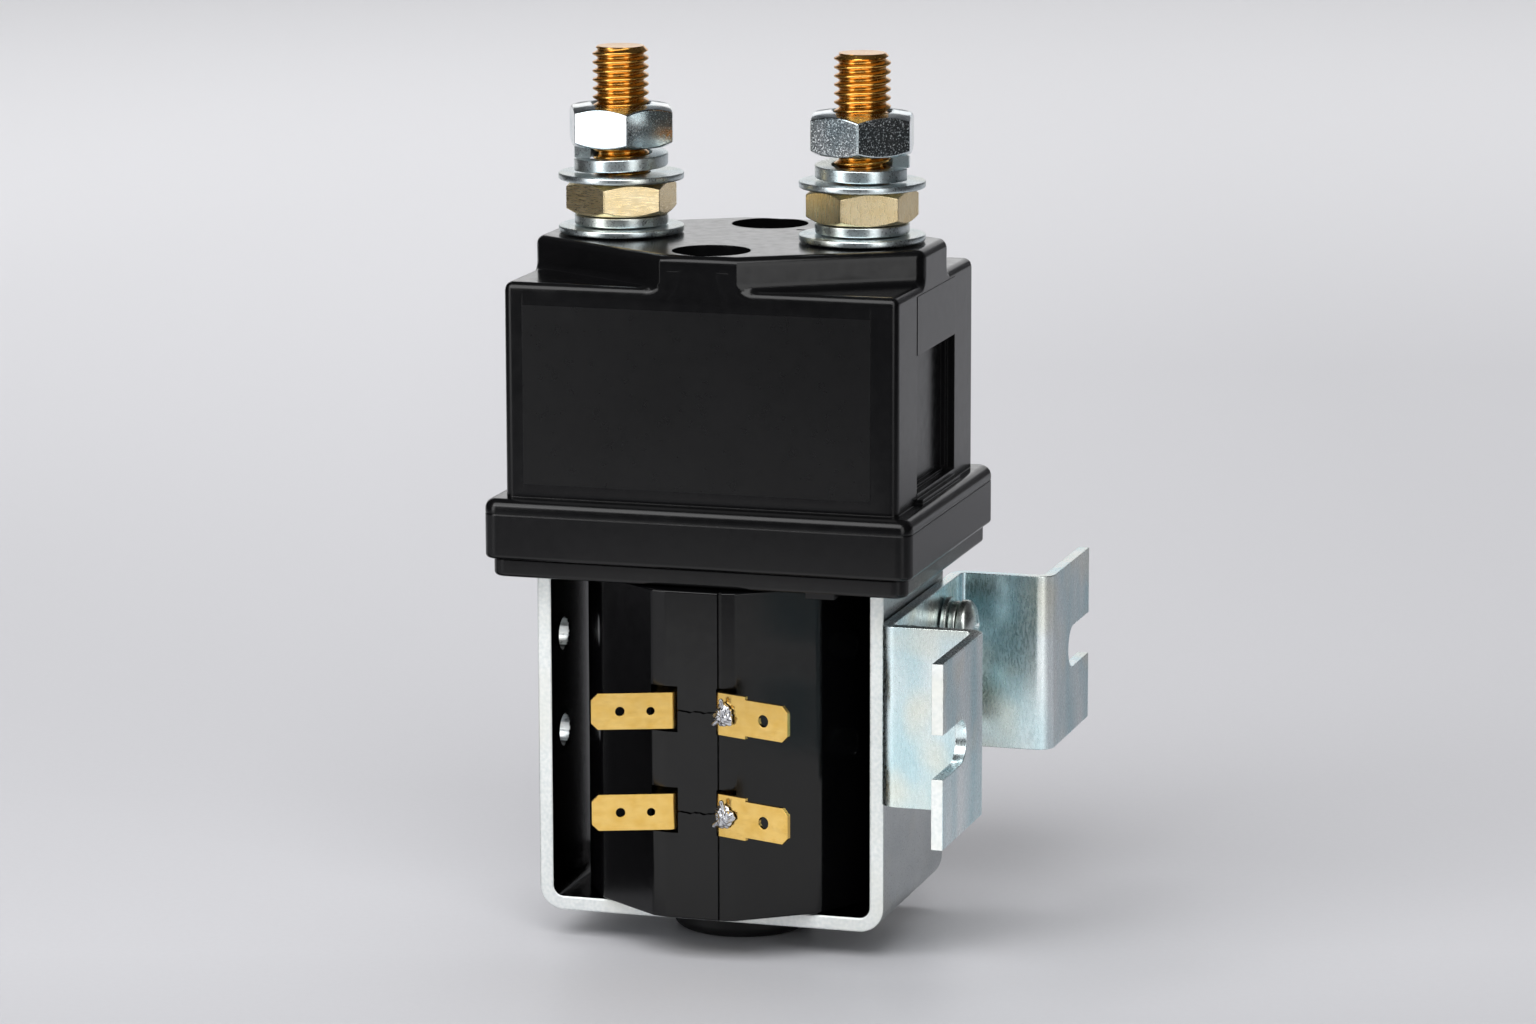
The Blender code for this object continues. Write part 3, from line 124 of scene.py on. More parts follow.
def relief(tree, shader, height, depth, under=None):
    """A bump of this depth in millimetres on the shader's normal, over one under it."""
    inputs = {"Height": height, "Distance": depth * MM}
    if under is not None:
        inputs["Normal"] = under
    made = add(tree, "ShaderNodeBump", inputs)
    tree.links.new(made.outputs[0], shader.inputs["Normal"])
    return made.outputs[0]


def worn(tree, radius):
    """A normal that shades sharp edges as if they were rounded by this radius."""
    return add(tree, "ShaderNodeBevel", {"Radius": radius * MM}, samples=4).outputs[0]


def feed(tree, shader, **inputs):
    """Set or link the shader's inputs; an underscore in a name stands for a space."""
    add(tree, shader, {key.replace("_", " "): value for key, value in inputs.items()})


# %% [markdown]
# ### Mouldings
#
# The cover and its base are glass filled polyester with the fine grain of a spark eroded
# mould: near black, satin, and a little uneven in its sheen, with a rougher front. The coil
# is overmoulded in a polished mould, so it is glossy and shows long flow ripples. The end cap
# is matte, and the bobbin inside is natural nylon.

# %%
def moulding(name, dark, pale, roughness, grain, depth, ripple=0.0, index=1.42):
    """A plastic: two near colours, a roughness range and a grain of some depth, over long
    ripples or else over worn edges."""
    material, tree, shader, place = start(name)
    broad = noise(tree, place, 14.0, 2.0)
    fine = noise(tree, place, grain, 2.0, 0.6)
    middle = noise(tree, place, 1.9)
    colour = blend(tree, between(tree, broad), srgb(dark), srgb(pale))
    feed(tree, shader, Base_Color=colour, Roughness=between(tree, middle, *roughness),
         IOR=index)
    if ripple > 0:
        wave = noise(tree, place, 5.5, 1.0, 0.4, (1.0, 1.0, 2.2))
        under = relief(tree, shader, wave, ripple)
    else:
        under = worn(tree, 0.25)
    relief(tree, shader, fine, depth, under)
    return material


black_moulding = moulding("black_moulding", "09090A", "0D0D0E", (0.15, 0.22), grain=0.35,
                          depth=0.0012, index=1.36)
grained_moulding = moulding("grained_moulding", "0A0A0B", "0E0E0F", (0.27, 0.30), grain=0.28,
                            depth=0.009, index=1.35)
coil_moulding = moulding("coil_moulding", "040405", "070708", (0.14, 0.20), grain=0.35,
                         depth=0.001, ripple=0.012, index=1.35)
cap_moulding = moulding("cap_moulding", "101011", "151516", (0.50, 0.58), grain=0.30,
                        depth=0.012)
moulding("bobbin_nylon", "CFC9B8", "DAD5C6", (0.42, 0.50), grain=0.30, depth=0.006)
print("mouldings:", black_moulding.name, grained_moulding.name, coil_moulding.name)

# %% [markdown]
# ### Plated steel
#
# The frame, the bracket, the washers and the screws are zinc plated with a clear chromate:
# a bright, slightly mottled metal that drifts from pale grey to a cold blue and a faint
# straw, as the film's thickness changes. Rolled sheet keeps faint streaks, and punched edges
# are rough and speckled. The inside of the frame is painted near black, as painted shade
# where it faces the black coil.

# %%
DULL_SPECK = 0.25


def plating(name, pale, cold, warm, roughness, mottle, streak=(1, 1, 1), speck=0.0,
            grain=0.35, depth=0.003):
    """Zinc plate: three colours drifting into each other, a mottled sheen, and pale specks,
    which are dull too if they are stronger than DULL_SPECK."""
    material, tree, shader, place = start(name)
    drift = noise(tree, place, 11.0, 1.0)
    patch = noise(tree, place, mottle, 1.5, 0.5, streak)
    fine = noise(tree, place, grain, 3.0, 0.6, streak)
    colour = blend(tree, between(tree, patch), srgb(cold), srgb(pale))
    warmer = between(tree, drift, 0.0, 0.8, 0.50, 0.72)
    colour = blend(tree, warmer, colour, srgb(warm))
    if speck > 0:
        dots = noise(tree, place, 0.30, 2.0, 0.7)
        share = between(tree, dots, 0.0, speck, 0.56, 0.70)
        colour = blend(tree, share, colour, srgb("F4F6F5"))
    sheen = between(tree, fine, *roughness, 0.35, 0.65)
    if speck > DULL_SPECK:
        dull = between(tree, dots, 0.0, 0.20, 0.54, 0.64)
        sheen = add(tree, "ShaderNodeMath", {0: sheen, 1: dull}, operation="ADD").outputs[0]
    feed(tree, shader, Base_Color=colour, Metallic=1.0, Roughness=sheen)
    relief(tree, shader, fine, depth, worn(tree, 0.12))
    return material


zinc_plate = plating("zinc_plate", "DCE3E4", "C3D2D6", "D6D9CE", (0.26, 0.34), 4.0)
zinc_sheet = plating("zinc_sheet", "E2EAEC", "B2D2DA", "DEDED2", (0.22, 0.32), 7.0,
                     streak=(1, 1, 4.0), speck=0.16)
zinc_frame = plating("zinc_frame", "B9BDBE", "ADB3B5", "B9BAB4", (0.26, 0.36), 7.0,
                     speck=0.10)
# painted shade: a near black plate for the frame's inner faces, which face the black coil
zinc_painted_shade = plating("zinc_painted_shade", "101112", "0D0E0E", "111110", (0.12, 0.20), 7.0)
zinc_nut = plating("zinc_nut", "E2E7E9", "B4C4CA", "D5D8D1", (0.07, 0.16), 5.0,
                   speck=0.30, grain=0.25, depth=0.002)
zinc_edge = plating("zinc_edge", "F2F4F3", "E2E7E7", "EAEBE5", (0.52, 0.66), 0.6,
                    speck=0.8, grain=0.30, depth=0.010)
print("plated steel:", zinc_plate.name, zinc_sheet.name, zinc_nut.name, zinc_edge.name)

# %% [markdown]
# ### Brass, solder and the metals inside
#
# The blades are rolled golden brass, and the studs are turned from a deeper one. The nuts
# are pale brass, the left one brushed level and the right one upright. The solder is patchy.
# The metals inside are dressed too, each in one finish for all its pieces.

# %%
def metal(name, colour, second, roughness, grain=0.4, depth=0.004, streak=(1, 1, 1),
          patch=2.5):
    """A bare metal: two colours in patches and a grain that streak draws out."""
    material, tree, shader, place = start(name)
    cloud = noise(tree, place, patch)
    fine = noise(tree, place, grain, 3.0, 0.6, streak)
    tint = blend(tree, between(tree, cloud), srgb(colour), srgb(second))
    feed(tree, shader, Base_Color=tint, Metallic=1.0, Roughness=between(tree, fine, *roughness))
    relief(tree, shader, fine, depth)
    return material


brass = metal("brass", "D3AC5A", "DDBA70", (0.17, 0.26), grain=0.8, depth=0.0012,
              streak=(3, 3, 1), patch=2.2)
stud_brass = metal("stud_brass", "CF9948", "DBA859", (0.18, 0.28), grain=0.3, depth=0.002)
pale_brass = metal("pale_brass", "EBD3A0", "F2DFB6", (0.22, 0.36), grain=0.16, depth=0.0022,
                   streak=(12, 12, 1))
upright_brass = metal("upright_brass", "E6CF9E", "EEDCB4", (0.22, 0.36), grain=0.16,
                      depth=0.0030, streak=(1, 1, 14))
solder = metal("solder", "C2C3C7", "96979D", (0.18, 0.32), grain=0.30, depth=0.008, patch=0.7)
metal("bare_steel", "8E9092", "9A9C9E", (0.28, 0.38))
metal("copper", "B8704A", "C47D58", (0.26, 0.36))
metal("silver_tip", "D5D3CE", "C6C4BE", (0.28, 0.40))
spring_steel = metal("spring_steel", "777B80", "85898E", (0.24, 0.34), grain=0.3,
                     depth=0.003, streak=(1, 1, 4))
metal("enamelled_wire", "8A3B17", "974720", (0.28, 0.38), grain=0.45, depth=0.05,
      streak=(40, 40, 1))
for part in frame["record"]["subparts"]:
    for slot in frame["nodes"][part["node"]].material_slots:
        slot.material = finishes[part["material_slot"]]
print("finishes:", *finishes)

# %% [markdown]
# ## Shapes
#
# Nearly every piece here is an outline carried along something: up a stack of levels, round
# an axis, or along a bend. So one function skins a grid of points with quads, and the rest
# work out the points with whole arrays. Holes and pockets are cut with exact booleans.

# %%
def arc(centre, radius, start_at, end_at, steps):
    """Points c + r (cos a, sin a) for angles from start_at to end_at in degrees."""
    angle = np.radians(np.linspace(start_at, end_at, steps + 1))
    return np.stack([centre[0] + radius * np.cos(angle), centre[1] + radius * np.sin(angle)], 1)


def rounded(width, depth, corner, steps=8, centre=(0, 0)):
    """Outline of a rectangle: four arcs of radius corner at (+-(w/2 - r), +-(d/2 - r))."""
    x, y = width / 2 - corner, depth / 2 - corner
    corners = [((x, -y), -90), ((x, y), 0), ((-x, y), 90), ((-x, -y), 180)]
    return np.concatenate([arc((centre[0] + px, centre[1] + py), corner, a, a + 90, steps)
                           for (px, py), a in corners])


def bent(corners, radius, steps=12):
    """A path through corners, each inner one replaced by a tangent arc of this radius."""
    corners = [np.array(c, float) for c in corners]
    path = [corners[0][None]]
    for before, corner, after in zip(corners, corners[1:], corners[2:]):
        come, leave = before - corner, after - corner
        come, leave = come / np.linalg.norm(come), leave / np.linalg.norm(leave)
        half = math.acos(float(come @ leave)) / 2
        middle = (come + leave) / np.linalg.norm(come + leave)
        centre = corner + middle * radius / math.sin(half)
        first = corner + come * radius / math.tan(half) - centre
        last = corner + leave * radius / math.tan(half) - centre
        share = np.linspace(0, 1, steps + 1)[:, None]
        sweep = math.pi - 2 * half
        weight = np.sin((1 - share) * sweep), np.sin(share * sweep)
        path.append(centre + (weight[0] * first + weight[1] * last) / math.sin(sweep))
    path.append(corners[-1][None])
    return np.concatenate(path)


def sheet(path, thickness):
    """Outline of a sheet: the path shifted by +-t/2 along its normal (-t_y, t_x)."""
    along = np.gradient(path, axis=0)
    along /= np.linalg.norm(along, axis=1)[:, None]
    across = np.stack([-along[:, 1], along[:, 0]], 1) * thickness / 2
    return np.concatenate([path + across, (path - across)[::-1]])


def stack(rows):
    """Grid of outlines at levels: each row is (outline, z)."""
    return np.stack([np.column_stack([outline, np.full(len(outline), float(z))])
                     for outline, z in rows])


def around(profile, steps=96):
    """Grid of a turned piece: (r cos a, r sin a, z) for each (r, z) of the profile."""
    r, z = np.array(profile, float).T
    angle = np.linspace(0, 2 * np.pi, steps, endpoint=False)
    return np.stack([r[:, None] * np.cos(angle), r[:, None] * np.sin(angle),
                     np.repeat(z[:, None], steps, 1)], -1)


def skin(grid, ends, loop):
    """Quads between neighbouring rows, closed round each row; loop joins last to first."""
    rows, columns = grid.shape[:2]
    i, j = np.meshgrid(np.arange(rows if loop else rows - 1), np.arange(columns),
                       indexing="ij")
    i, j = i.ravel(), j.ravel()
    below, right = (i + 1) % rows, (j + 1) % columns
    faces = np.stack([i * columns + j, i * columns + right, below * columns + right,
                      below * columns + j], 1).tolist()
    if ends and not loop:
        faces.append(list(range(columns))[::-1])
        faces.append(list(range((rows - 1) * columns, rows * columns)))
    return faces


def link(name, data):
    """A new object in the scene, with this mesh, light or camera."""
    made = bpy.data.objects.new(name, data)
    bpy.context.scene.collection.objects.link(made)
    return made


def shape(grid, ends=True, loop=False, turn=None):
    """A closed mesh from a grid in millimetres, doubles merged and faces outward."""
    points = grid.reshape(-1, 3) * MM
    data = bpy.data.meshes.new("shape")
    data.from_pydata(points.tolist(), [], skin(grid, ends, loop))
    bm = bmesh.new()
    bm.from_mesh(data)
    bmesh.ops.remove_doubles(bm, verts=bm.verts, dist=1e-7)
    if turn is not None:
        bmesh.ops.transform(bm, matrix=turn, verts=bm.verts)
    bmesh.ops.recalc_face_normals(bm, faces=bm.faces)
    bm.to_mesh(data)
    bm.free()
    return link("shape", data)


def box(corner, other, turn=None):
    """A box between two opposite corners, as a stack of two rectangles."""
    (x0, y0, z0), (x1, y1, z1) = np.minimum(corner, other), np.maximum(corner, other)
    plan = np.array([(x0, y0), (x1, y0), (x1, y1), (x0, y1)], float)
    return shape(stack([(plan, z0), (plan, z1)]), turn=turn)


def prism(outline, low, high, turn=None):
    """An outline carried from one level to another."""
    outline = np.array(outline, float)
    return shape(stack([(outline, low), (outline, high)]), turn=turn)


def facing(axes):
    """Matrix that turns an outline's own x and y, and the way it is led, to three axes."""
    rows = np.eye(3)[["XYZ".index(name) for name in axes]]
    return Matrix(rows.tolist()).transposed().to_4x4()


def drill(radius, low, high, at=(0, 0), axis="Z", steps=64):
    """A cylinder for cutting, along Z at (x, y) or along X at (y, z)."""
    plan = arc((0, 0), radius, 0, 360 - 360 / steps, steps - 1)
    if axis == "Z":
        return prism(plan + np.array(at), low, high)
    lie = facing("YZX")
    lie.translation = (0, at[0] * MM, at[1] * MM)
    return prism(plan, low, high, lie)


def bake(piece):
    """Turn a piece's modifiers into its mesh, with flat neighbours merged."""
    bpy.context.view_layer.update()
    seen = piece.evaluated_get(bpy.context.evaluated_depsgraph_get())
    data = bpy.data.meshes.new_from_object(seen)
    piece.modifiers.clear()
    old, piece.data = piece.data, data
    bpy.data.meshes.remove(old)
    for layer in ("custom_normal", "sharp_edge", "sharp_face"):
        if layer in data.attributes:
            data.attributes.remove(data.attributes[layer])
    bm = bmesh.new()
    bm.from_mesh(data)
    bmesh.ops.remove_doubles(bm, verts=bm.verts, dist=2e-7)
    bmesh.ops.dissolve_limit(bm, angle_limit=math.radians(0.05), verts=bm.verts,
                             edges=bm.edges)
    bm.to_mesh(data)
    bm.free()


def carve(piece, *cutters, operation="DIFFERENCE"):
    """Cut a piece with, or join it to, each cutter in turn."""
    for cutter in cutters:
        step = piece.modifiers.new("step", "BOOLEAN")
        step.operation = operation
        step.solver = "EXACT"
        step.object = cutter
    bake(piece)
    for cutter in cutters:
        bpy.data.objects.remove(cutter)
    return piece


def soften(piece, width, steps, angle=40):
    """Round a piece's edges sharper than an angle, by width millimetres."""
    bevel = piece.modifiers.new("Edges", "BEVEL")
    bevel.width = width * MM
    bevel.segments = steps
    bevel.limit_method = "ANGLE"
    bevel.angle_limit = math.radians(angle)
    bevel.harden_normals = True


def show(piece, name, finish, nodes=(), edge=0.0, steps=2, angle=40, sharp=35,
         body="contactor_body"):
    """Name, shade and dress a finished piece, and let it stand for its nodes."""
    piece.name = name
    piece.data.name = name
    piece.data.materials.clear()
    piece.data.materials.append(finish)
    piece.data.shade_smooth()
    piece.data.set_sharp_from_angle(angle=math.radians(sharp))
    if edge > 0:
        soften(piece, edge, steps, angle)
    flat = piece.modifiers.new("Flat faces shaded flat", "WEIGHTED_NORMAL")
    flat.keep_sharp = True
    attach(piece, body)
    if nodes:
        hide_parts(*nodes)
    return piece


def repaint(piece, finish, chosen):
    """Give some faces another finish; chosen maps face normals and centres to a mask."""
    piece.data.materials.append(finish)
    faces = piece.data.polygons
    normals = np.array([face.normal for face in faces])
    centres = np.array([face.center for face in faces]) / MM
    picked = np.flatnonzero(chosen(normals, centres)).tolist()
    for number in picked:
        faces[number].material_index = len(piece.data.materials) - 1
    print(f"  {piece.name}: {len(picked)} faces in {finish.name}")


def facts(*made):
    """Print the name and triangle count of each piece."""
    for piece in made:
        piece.data.calc_loop_triangles()
        print(f"  {piece.name}: {len(piece.data.loop_triangles)} triangles")


# %% [markdown]
# ## Cover
#
# The cover is one compression moulding: a block with four corners stepped down so that a
# six sided plateau stays in the middle, on a flange that laps over the base. Every edge of
# the block is rounded in one go by a bevel, and turns upward on a fillet, a saddle, where the
# plateau rises from a shoulder. The flange is a stack of outlines with its own rounds. Thin
# lands stand proud of the front and the ends, and cavity, wells and pockets are cut last.

# %%
BODY_X, BODY_Y = 34.9, 25.25
FLANGE, FLANGE_LOW, FLANGE_HIGH = (76.0, 57.4, 2.6), 68.8, 79.2
SHOULDER, PLATEAU, WALL_ROUND = 116.4, 122.1, 1.3
EDGE_ROUND, SADDLE, SADDLE_DEPTH, SADDLE_BACK = 1.5, 3.0, 3.2, 3.5
PLATEAU_FRONT, PLATEAU_END = 6.8, 8.0
WELL_Y, WELL_RADIUS, WELL_FLOOR, COVER_HOLE = 17.5, 6.75, 76.95, 2.7
TOWER, TOWER_BACK, TOWER_LOW, TOWER_HIGH = 8.25, 24.05, 73.95, 111.5
POCKET_Y, POCKET_LOW, POCKET_HIGH, POCKET_DEPTH = 12.5, 80.95, 104.75, 2.2
LEDGE_DEPTH, LEDGE_SIDE, LEDGE_FOOT = 1.3, 1.3, 0.6
LAND, END_LAND, SILL = 0.10, 0.08, 1.1
STUD_X, STUD_HOLE = 21.7, 5.12
PAST = 60  # beyond the part


def rim(width, depth, corner, low, high, under, over):
    """Rows of a slab, rounded by r = under at its foot and r = over at its top: inset
    r (1 - cos a) at r (1 - sin a) from that face."""
    angle = np.radians(np.linspace(0, 90, 7))
    rows = [(under * (1 - np.sin(a)), low + under * (1 - np.cos(a))) for a in angle]
    rows += [(over * (1 - np.cos(a)), high - over * (1 - np.sin(a))) for a in angle]
    return [(rounded(width - 2 * inset, depth - 2 * inset, max(corner - inset, 0.3)), z)
            for inset, z in rows]


def wedge(sx, sy):
    """Cutter for a corner: the section of wall, inside round and floor, led along the wall
    between the long side at PLATEAU_FRONT and the end at PLATEAU_END."""
    end = np.array([sx * BODY_X, sy * PLATEAU_END])
    front = np.array([sx * PLATEAU_FRONT, sy * BODY_Y])
    along = (front - end) / np.linalg.norm(front - end)
    out = np.array([[sx * abs(along[1]), sy * abs(along[0])]])
    inside = arc((WALL_ROUND, SHOULDER + WALL_ROUND), WALL_ROUND, 180, 270, 6)
    section = np.concatenate([[(0, 140)], inside, [(PAST, SHOULDER), (PAST, 140)]])
    ends = [np.column_stack([place + section[:, :1] * out, section[:, 1]])
            for place in (end - 8 * along, front + 8 * along)]
    return shape(np.stack(ends))


def saddle(sx, sy):
    """Fillet where the plateau rises from a shoulder on a long side: the section of the
    rounded edge, led round an arc in XZ of radius SADDLE that touches wall and shoulder."""
    turn = np.radians(np.linspace(270, 180, 13))[:, None]
    round_over = np.radians(np.linspace(0, 90, 6))
    depth = np.concatenate([EDGE_ROUND * (1 - np.cos(round_over)),
                            [SADDLE_DEPTH, SADDLE_DEPTH, 0]])
    reach = np.concatenate([EDGE_ROUND * (1 - np.sin(round_over)),
                            [0, SADDLE_BACK, SADDLE_BACK]]) + SADDLE
    x = PLATEAU_FRONT + SADDLE + reach * np.cos(turn)
    z = SHOULDER + SADDLE + reach * np.sin(turn)
    y = BODY_Y + 0.02 - depth + 0 * turn
    return shape(np.stack([sx * x, sy * y, z], axis=-1)[::sx * sy])


def cover_block():
    """A box less four wedges, every edge rounded by EDGE_ROUND, with four saddles."""
    corners = [(sx, sy) for sx in (-1, 1) for sy in (-1, 1)]
    block = box((-BODY_X, -BODY_Y, 75), (BODY_X, BODY_Y, PLATEAU))
    carve(block, *[wedge(*corner) for corner in corners])
    soften(block, EDGE_ROUND, 5)
    block.modifiers["Edges"].use_clamp_overlap = False
    bake(block)
    carve(block, *[saddle(*corner) for corner in corners], operation="UNION")
    return block


def flange_groove(rows):
    """The parting line: the outline is drawn in by 0.09 mm between z = 76.5 and 76.8."""
    outer, inner = rounded(*FLANGE), rounded(75.82, 57.22, 2.55)
    line = [(outer, 76.5), (inner, 76.58), (inner, 76.72), (outer, 76.8)]
    half = len(rows) // 2
    return rows[:half] + line + rows[half:]


cover = cover_block()
flange = shape(stack(flange_groove(rim(*FLANGE, FLANGE_LOW, FLANGE_HIGH, 0.7, 1.8))))
front_land = [(-BODY_Y + 1, 80.4), (-BODY_Y, 80.4), (-BODY_Y - LAND, 81.6),
              (-BODY_Y - LAND, 112.6), (-BODY_Y, 114.9), (-BODY_Y + 1, 114.9)]
joins = [flange, prism(front_land, -31.4, 30.2, facing("YZX"))]
joins += [box((-BODY_X - proud, -POCKET_Y, 78.2), (BODY_X + proud, POCKET_Y, top))
          for proud, top in ((END_LAND, 114.85), (SILL, 79.95))]
carve(cover, *joins, operation="UNION")
carve(cover, prism(rounded(59.2, 45.7, 2.6), 70.7, 110.5),
      prism(rounded(70.3, 51.7, 2.6), 60, 71.95))
for side in (-1, 1):
    plan = np.concatenate([arc((0, side * WELL_Y), TOWER, 0, -side * 180, 32),
                           [(-TOWER, side * TOWER_BACK), (TOWER, side * TOWER_BACK)]])
    carve(cover, prism(plan[::-side], TOWER_LOW, TOWER_HIGH), operation="UNION")
    carve(cover, drill(WELL_RADIUS, WELL_FLOOR, 130, (0, side * WELL_Y), steps=96),
          drill(COVER_HOLE, 60, 78, (0, side * WELL_Y), steps=32))
    carve(cover, box((side * (BODY_X - LEDGE_DEPTH), -POCKET_Y, POCKET_LOW),
                     (side * PAST, POCKET_Y, POCKET_HIGH)),
          box((side * (BODY_X - POCKET_DEPTH), -POCKET_Y, POCKET_LOW + LEDGE_FOOT),
              (side * PAST, POCKET_Y - LEDGE_SIDE, POCKET_HIGH)))
notch = box((6.8, 10.5, PLATEAU - 0.3), (10.1, 11.4, PLATEAU + 1))
carve(cover, *[drill(STUD_HOLE, 105, 130, (side * STUD_X, 0)) for side in (-1, 1)], notch)
show(cover, "cover_moulding", black_moulding, ["contact_cover"], sharp=24)
repaint(cover, grained_moulding, lambda normal, centre: (normal[:, 1] < -0.9)
        & (centre[:, 1] < -BODY_Y - 0.05) & (centre[:, 2] > 80))
facts(cover)

# %% [markdown]
# ## Base moulding
#
# The tray under the cover shows as a narrow band under the flange. It has a rebate that the
# flange laps, a recess below for the pole plate, and a small tab under its front edge.

# %%
base = shape(stack(rim(73.8, 54.8, 2.6, 65.55, 68.55, 0.7, 0.05)))
tab = box((19.4, -27.2, 64.8), (24.5, -24.2, 66.2))
carve(base, prism(rounded(69.8, 51.2, 2.6), 67.5, 71.7),
      prism(rounded(58.7, 45.2, 2.6), 70.7, 73.7), tab, operation="UNION")
plate_recess = box((-31.35, -19.95, 60), (31.35, 19.95, 68.8))
carve(base, plate_recess, drill(3.4, 60, 80, steps=48),
      *[drill(COVER_HOLE, 60, 80, (0, y), steps=32) for y in (WELL_Y, -WELL_Y)])
show(base, "base_tray", black_moulding, ["base_moulding"])
facts(base)

# %% [markdown]
# ## Magnet frame and hat bracket
#
# Both are pressed from plated sheet, so each is a path with bends, given a thickness and
# carried across its width. The punched edges keep a small round and a finish of their own.
# The frame's tenons pass through the pole plate, and the bracket's lips have open slots.

# %%
ARM, YOKE_LOW, YOKE_HIGH, YOKE_HALF, YOKE_SHEET = 31.1, 5.15, 65.3, 19.7, 2.5
TENON, TENON_TOP, TUBE_HOLE = 7, 68.0, 10.15
SCREW_HOLE, HOLE_Y, HOLE_Z = 2.7, 12.6, (35.8, 53.0)


def screw_holes(low, high):
    """Cutters along X for the four holes of the bracket's screws."""
    return [drill(SCREW_HOLE, low, high, (y, z), "X", 48)
            for y in (-HOLE_Y, HOLE_Y) for z in HOLE_Z]


middle, floor = ARM - YOKE_SHEET / 2, YOKE_LOW + YOKE_SHEET / 2
path = bent([(-middle, YOKE_HIGH), (-middle, floor), (middle, floor), (middle, YOKE_HIGH)], 3.1)
stand = Matrix.Rotation(math.pi / 2, 4, "X")
yoke = prism(sheet(path, YOKE_SHEET), -YOKE_HALF, YOKE_HALF, stand)
tenons = [box((side * ARM, -TENON, 64.3), (side * (ARM - YOKE_SHEET), TENON, TENON_TOP))
          for side in (-1, 1)]
carve(yoke, *tenons, operation="UNION")
carve(yoke, drill(TUBE_HOLE, 0, 12, steps=96), *screw_holes(-40, 40))
show(yoke, "frame_sheet", zinc_frame, ["yoke_frame"], 0.3, 3)
repaint(yoke, zinc_edge, lambda normal, centre: np.abs(normal[:, 1]) > 0.98)
# painted shade: the inner faces of the arms and the top of the floor get the dark plate
repaint(yoke, zinc_painted_shade, lambda normal, centre: (np.abs(normal[:, 1]) < 0.5)
        & (np.abs(centre[:, 0]) < ARM - 1.2) & (centre[:, 2] > YOKE_LOW + 1.2))

SEAT, LIP, LIP_SPAN, BRACKET_SHEET = 31.35, 49.75, (-50.6, 52.6), 2.0
BRACKET_LOW, BRACKET_HIGH, CHANNEL = 28.7, 60.1, (-23.1, 25.1)
SLOT_Z, SLOT_HALF, SLOT_LENGTH = 44.4, 3.75, 15.5
lip_x, seat_x = LIP - BRACKET_SHEET / 2, SEAT + BRACKET_SHEET / 2
path = bent([(lip_x, LIP_SPAN[0]), (lip_x, CHANNEL[0]), (seat_x, CHANNEL[0]),
             (seat_x, CHANNEL[1]), (lip_x, CHANNEL[1]), (lip_x, LIP_SPAN[1])], 2.0)
bracket = prism(sheet(path, BRACKET_SHEET), BRACKET_LOW, BRACKET_HIGH)
for side, end in zip((-1, 1), LIP_SPAN):
    centre, past = (SLOT_Z, end - side * (SLOT_LENGTH - SLOT_HALF)), end + side * 8
    slot = np.concatenate([arc(centre, SLOT_HALF, 0, -side * 180, 32),
                           [(SLOT_Z - SLOT_HALF, past), (SLOT_Z + SLOT_HALF, past)]])
    carve(bracket, prism(slot, LIP - 6, LIP + 4, facing("ZYX")))
carve(bracket, *screw_holes(30, 36))
show(bracket, "hat_bracket", zinc_sheet, ["mounting_bracket"], 0.25, 3)
repaint(bracket, zinc_edge, lambda normal, centre: (np.abs(normal[:, 1]) > 0.98)
        & (np.abs(centre[:, 1] - 1) > 51))
facts(yoke, bracket)

# %% [markdown]
# ## Coil
#
# The winding is overmoulded in glossy black nylon: a round back and a faceted ridge at the
# front, with windows for the two contact strips. A fine groove runs down the right of the
# flat panel, and a wavy slit shows where the mould closed on each strip.

# %%
RIDGE_Y, COIL_LOW, COIL_HIGH, COIL_RADIUS, COIL_BORE = 29.5, 7.9, 65.3, 26.9, 24.1
LEVELS = {"lower": 27.0, "upper": 44.7}


def coil_plan():
    """Half outline: panel to x = 4.8, facet to 7.4, slope to 19.9, then the round back from
    27 degrees before X. The other half is its mirror image."""
    meet = math.radians(-27)
    foot = bent([(7.4, -RIDGE_Y + 0.6), (19.9, -19.6),
                 (COIL_RADIUS * math.cos(meet), COIL_RADIUS * math.sin(meet))], 5.0, 10)[:-1]
    half = np.concatenate([[(4.8, -RIDGE_Y)], foot, arc((0, 0), COIL_RADIUS, -27, 90, 48)])
    mirrored = half[-2::-1] * np.array([-1, 1])
    return np.concatenate([half, mirrored])


coil = prism(coil_plan(), COIL_LOW, COIL_HIGH)
soften(coil, 0.35, 3, 11)
bake(coil)
groove = prism([(4.35, -30), (5.35, -30), (5.15, -28.95), (4.55, -28.95)], 0, 80)
carve(coil, drill(COIL_BORE, 0, 80, steps=96), groove)
x = np.linspace(-3.0, 4.6, 40)
wave = 0.10 * np.sin(2.3 * x) + 0.06 * np.sin(5.1 * x + 1)
for z in LEVELS.values():
    slit = np.concatenate([np.stack([x, z - 0.42 + wave], 1),
                           np.stack([x, z - 0.06 + wave], 1)[::-1]])
    carve(coil, box((-7.6, -60, z - 4), (-2.65, -27.3, z + 4)),
          box((4.25, -60, z - 4), (7.6, -27.3, z + 4)),
          box((-3.3, -28.6, z - 3.4), (4.9, -27.05, z + 3.4)),
          prism(slit, -31, -28.95, facing("XZY")))
show(coil, "coil_moulding_fine", coil_moulding, ["coil_housing"])
facts(coil)

# %% [markdown]
# ## Blades and solder
#
# Each contact strip is stamped brass, 0.8 mm thick, bent through the windows so that a
# 6.3 mm blade splays out on each side. The coil's lead is soldered to the shoulder of the
# right blade. The joint is a lump whose radius swells and dips with a few sine waves, from
# which two short ends of the lead stand out.

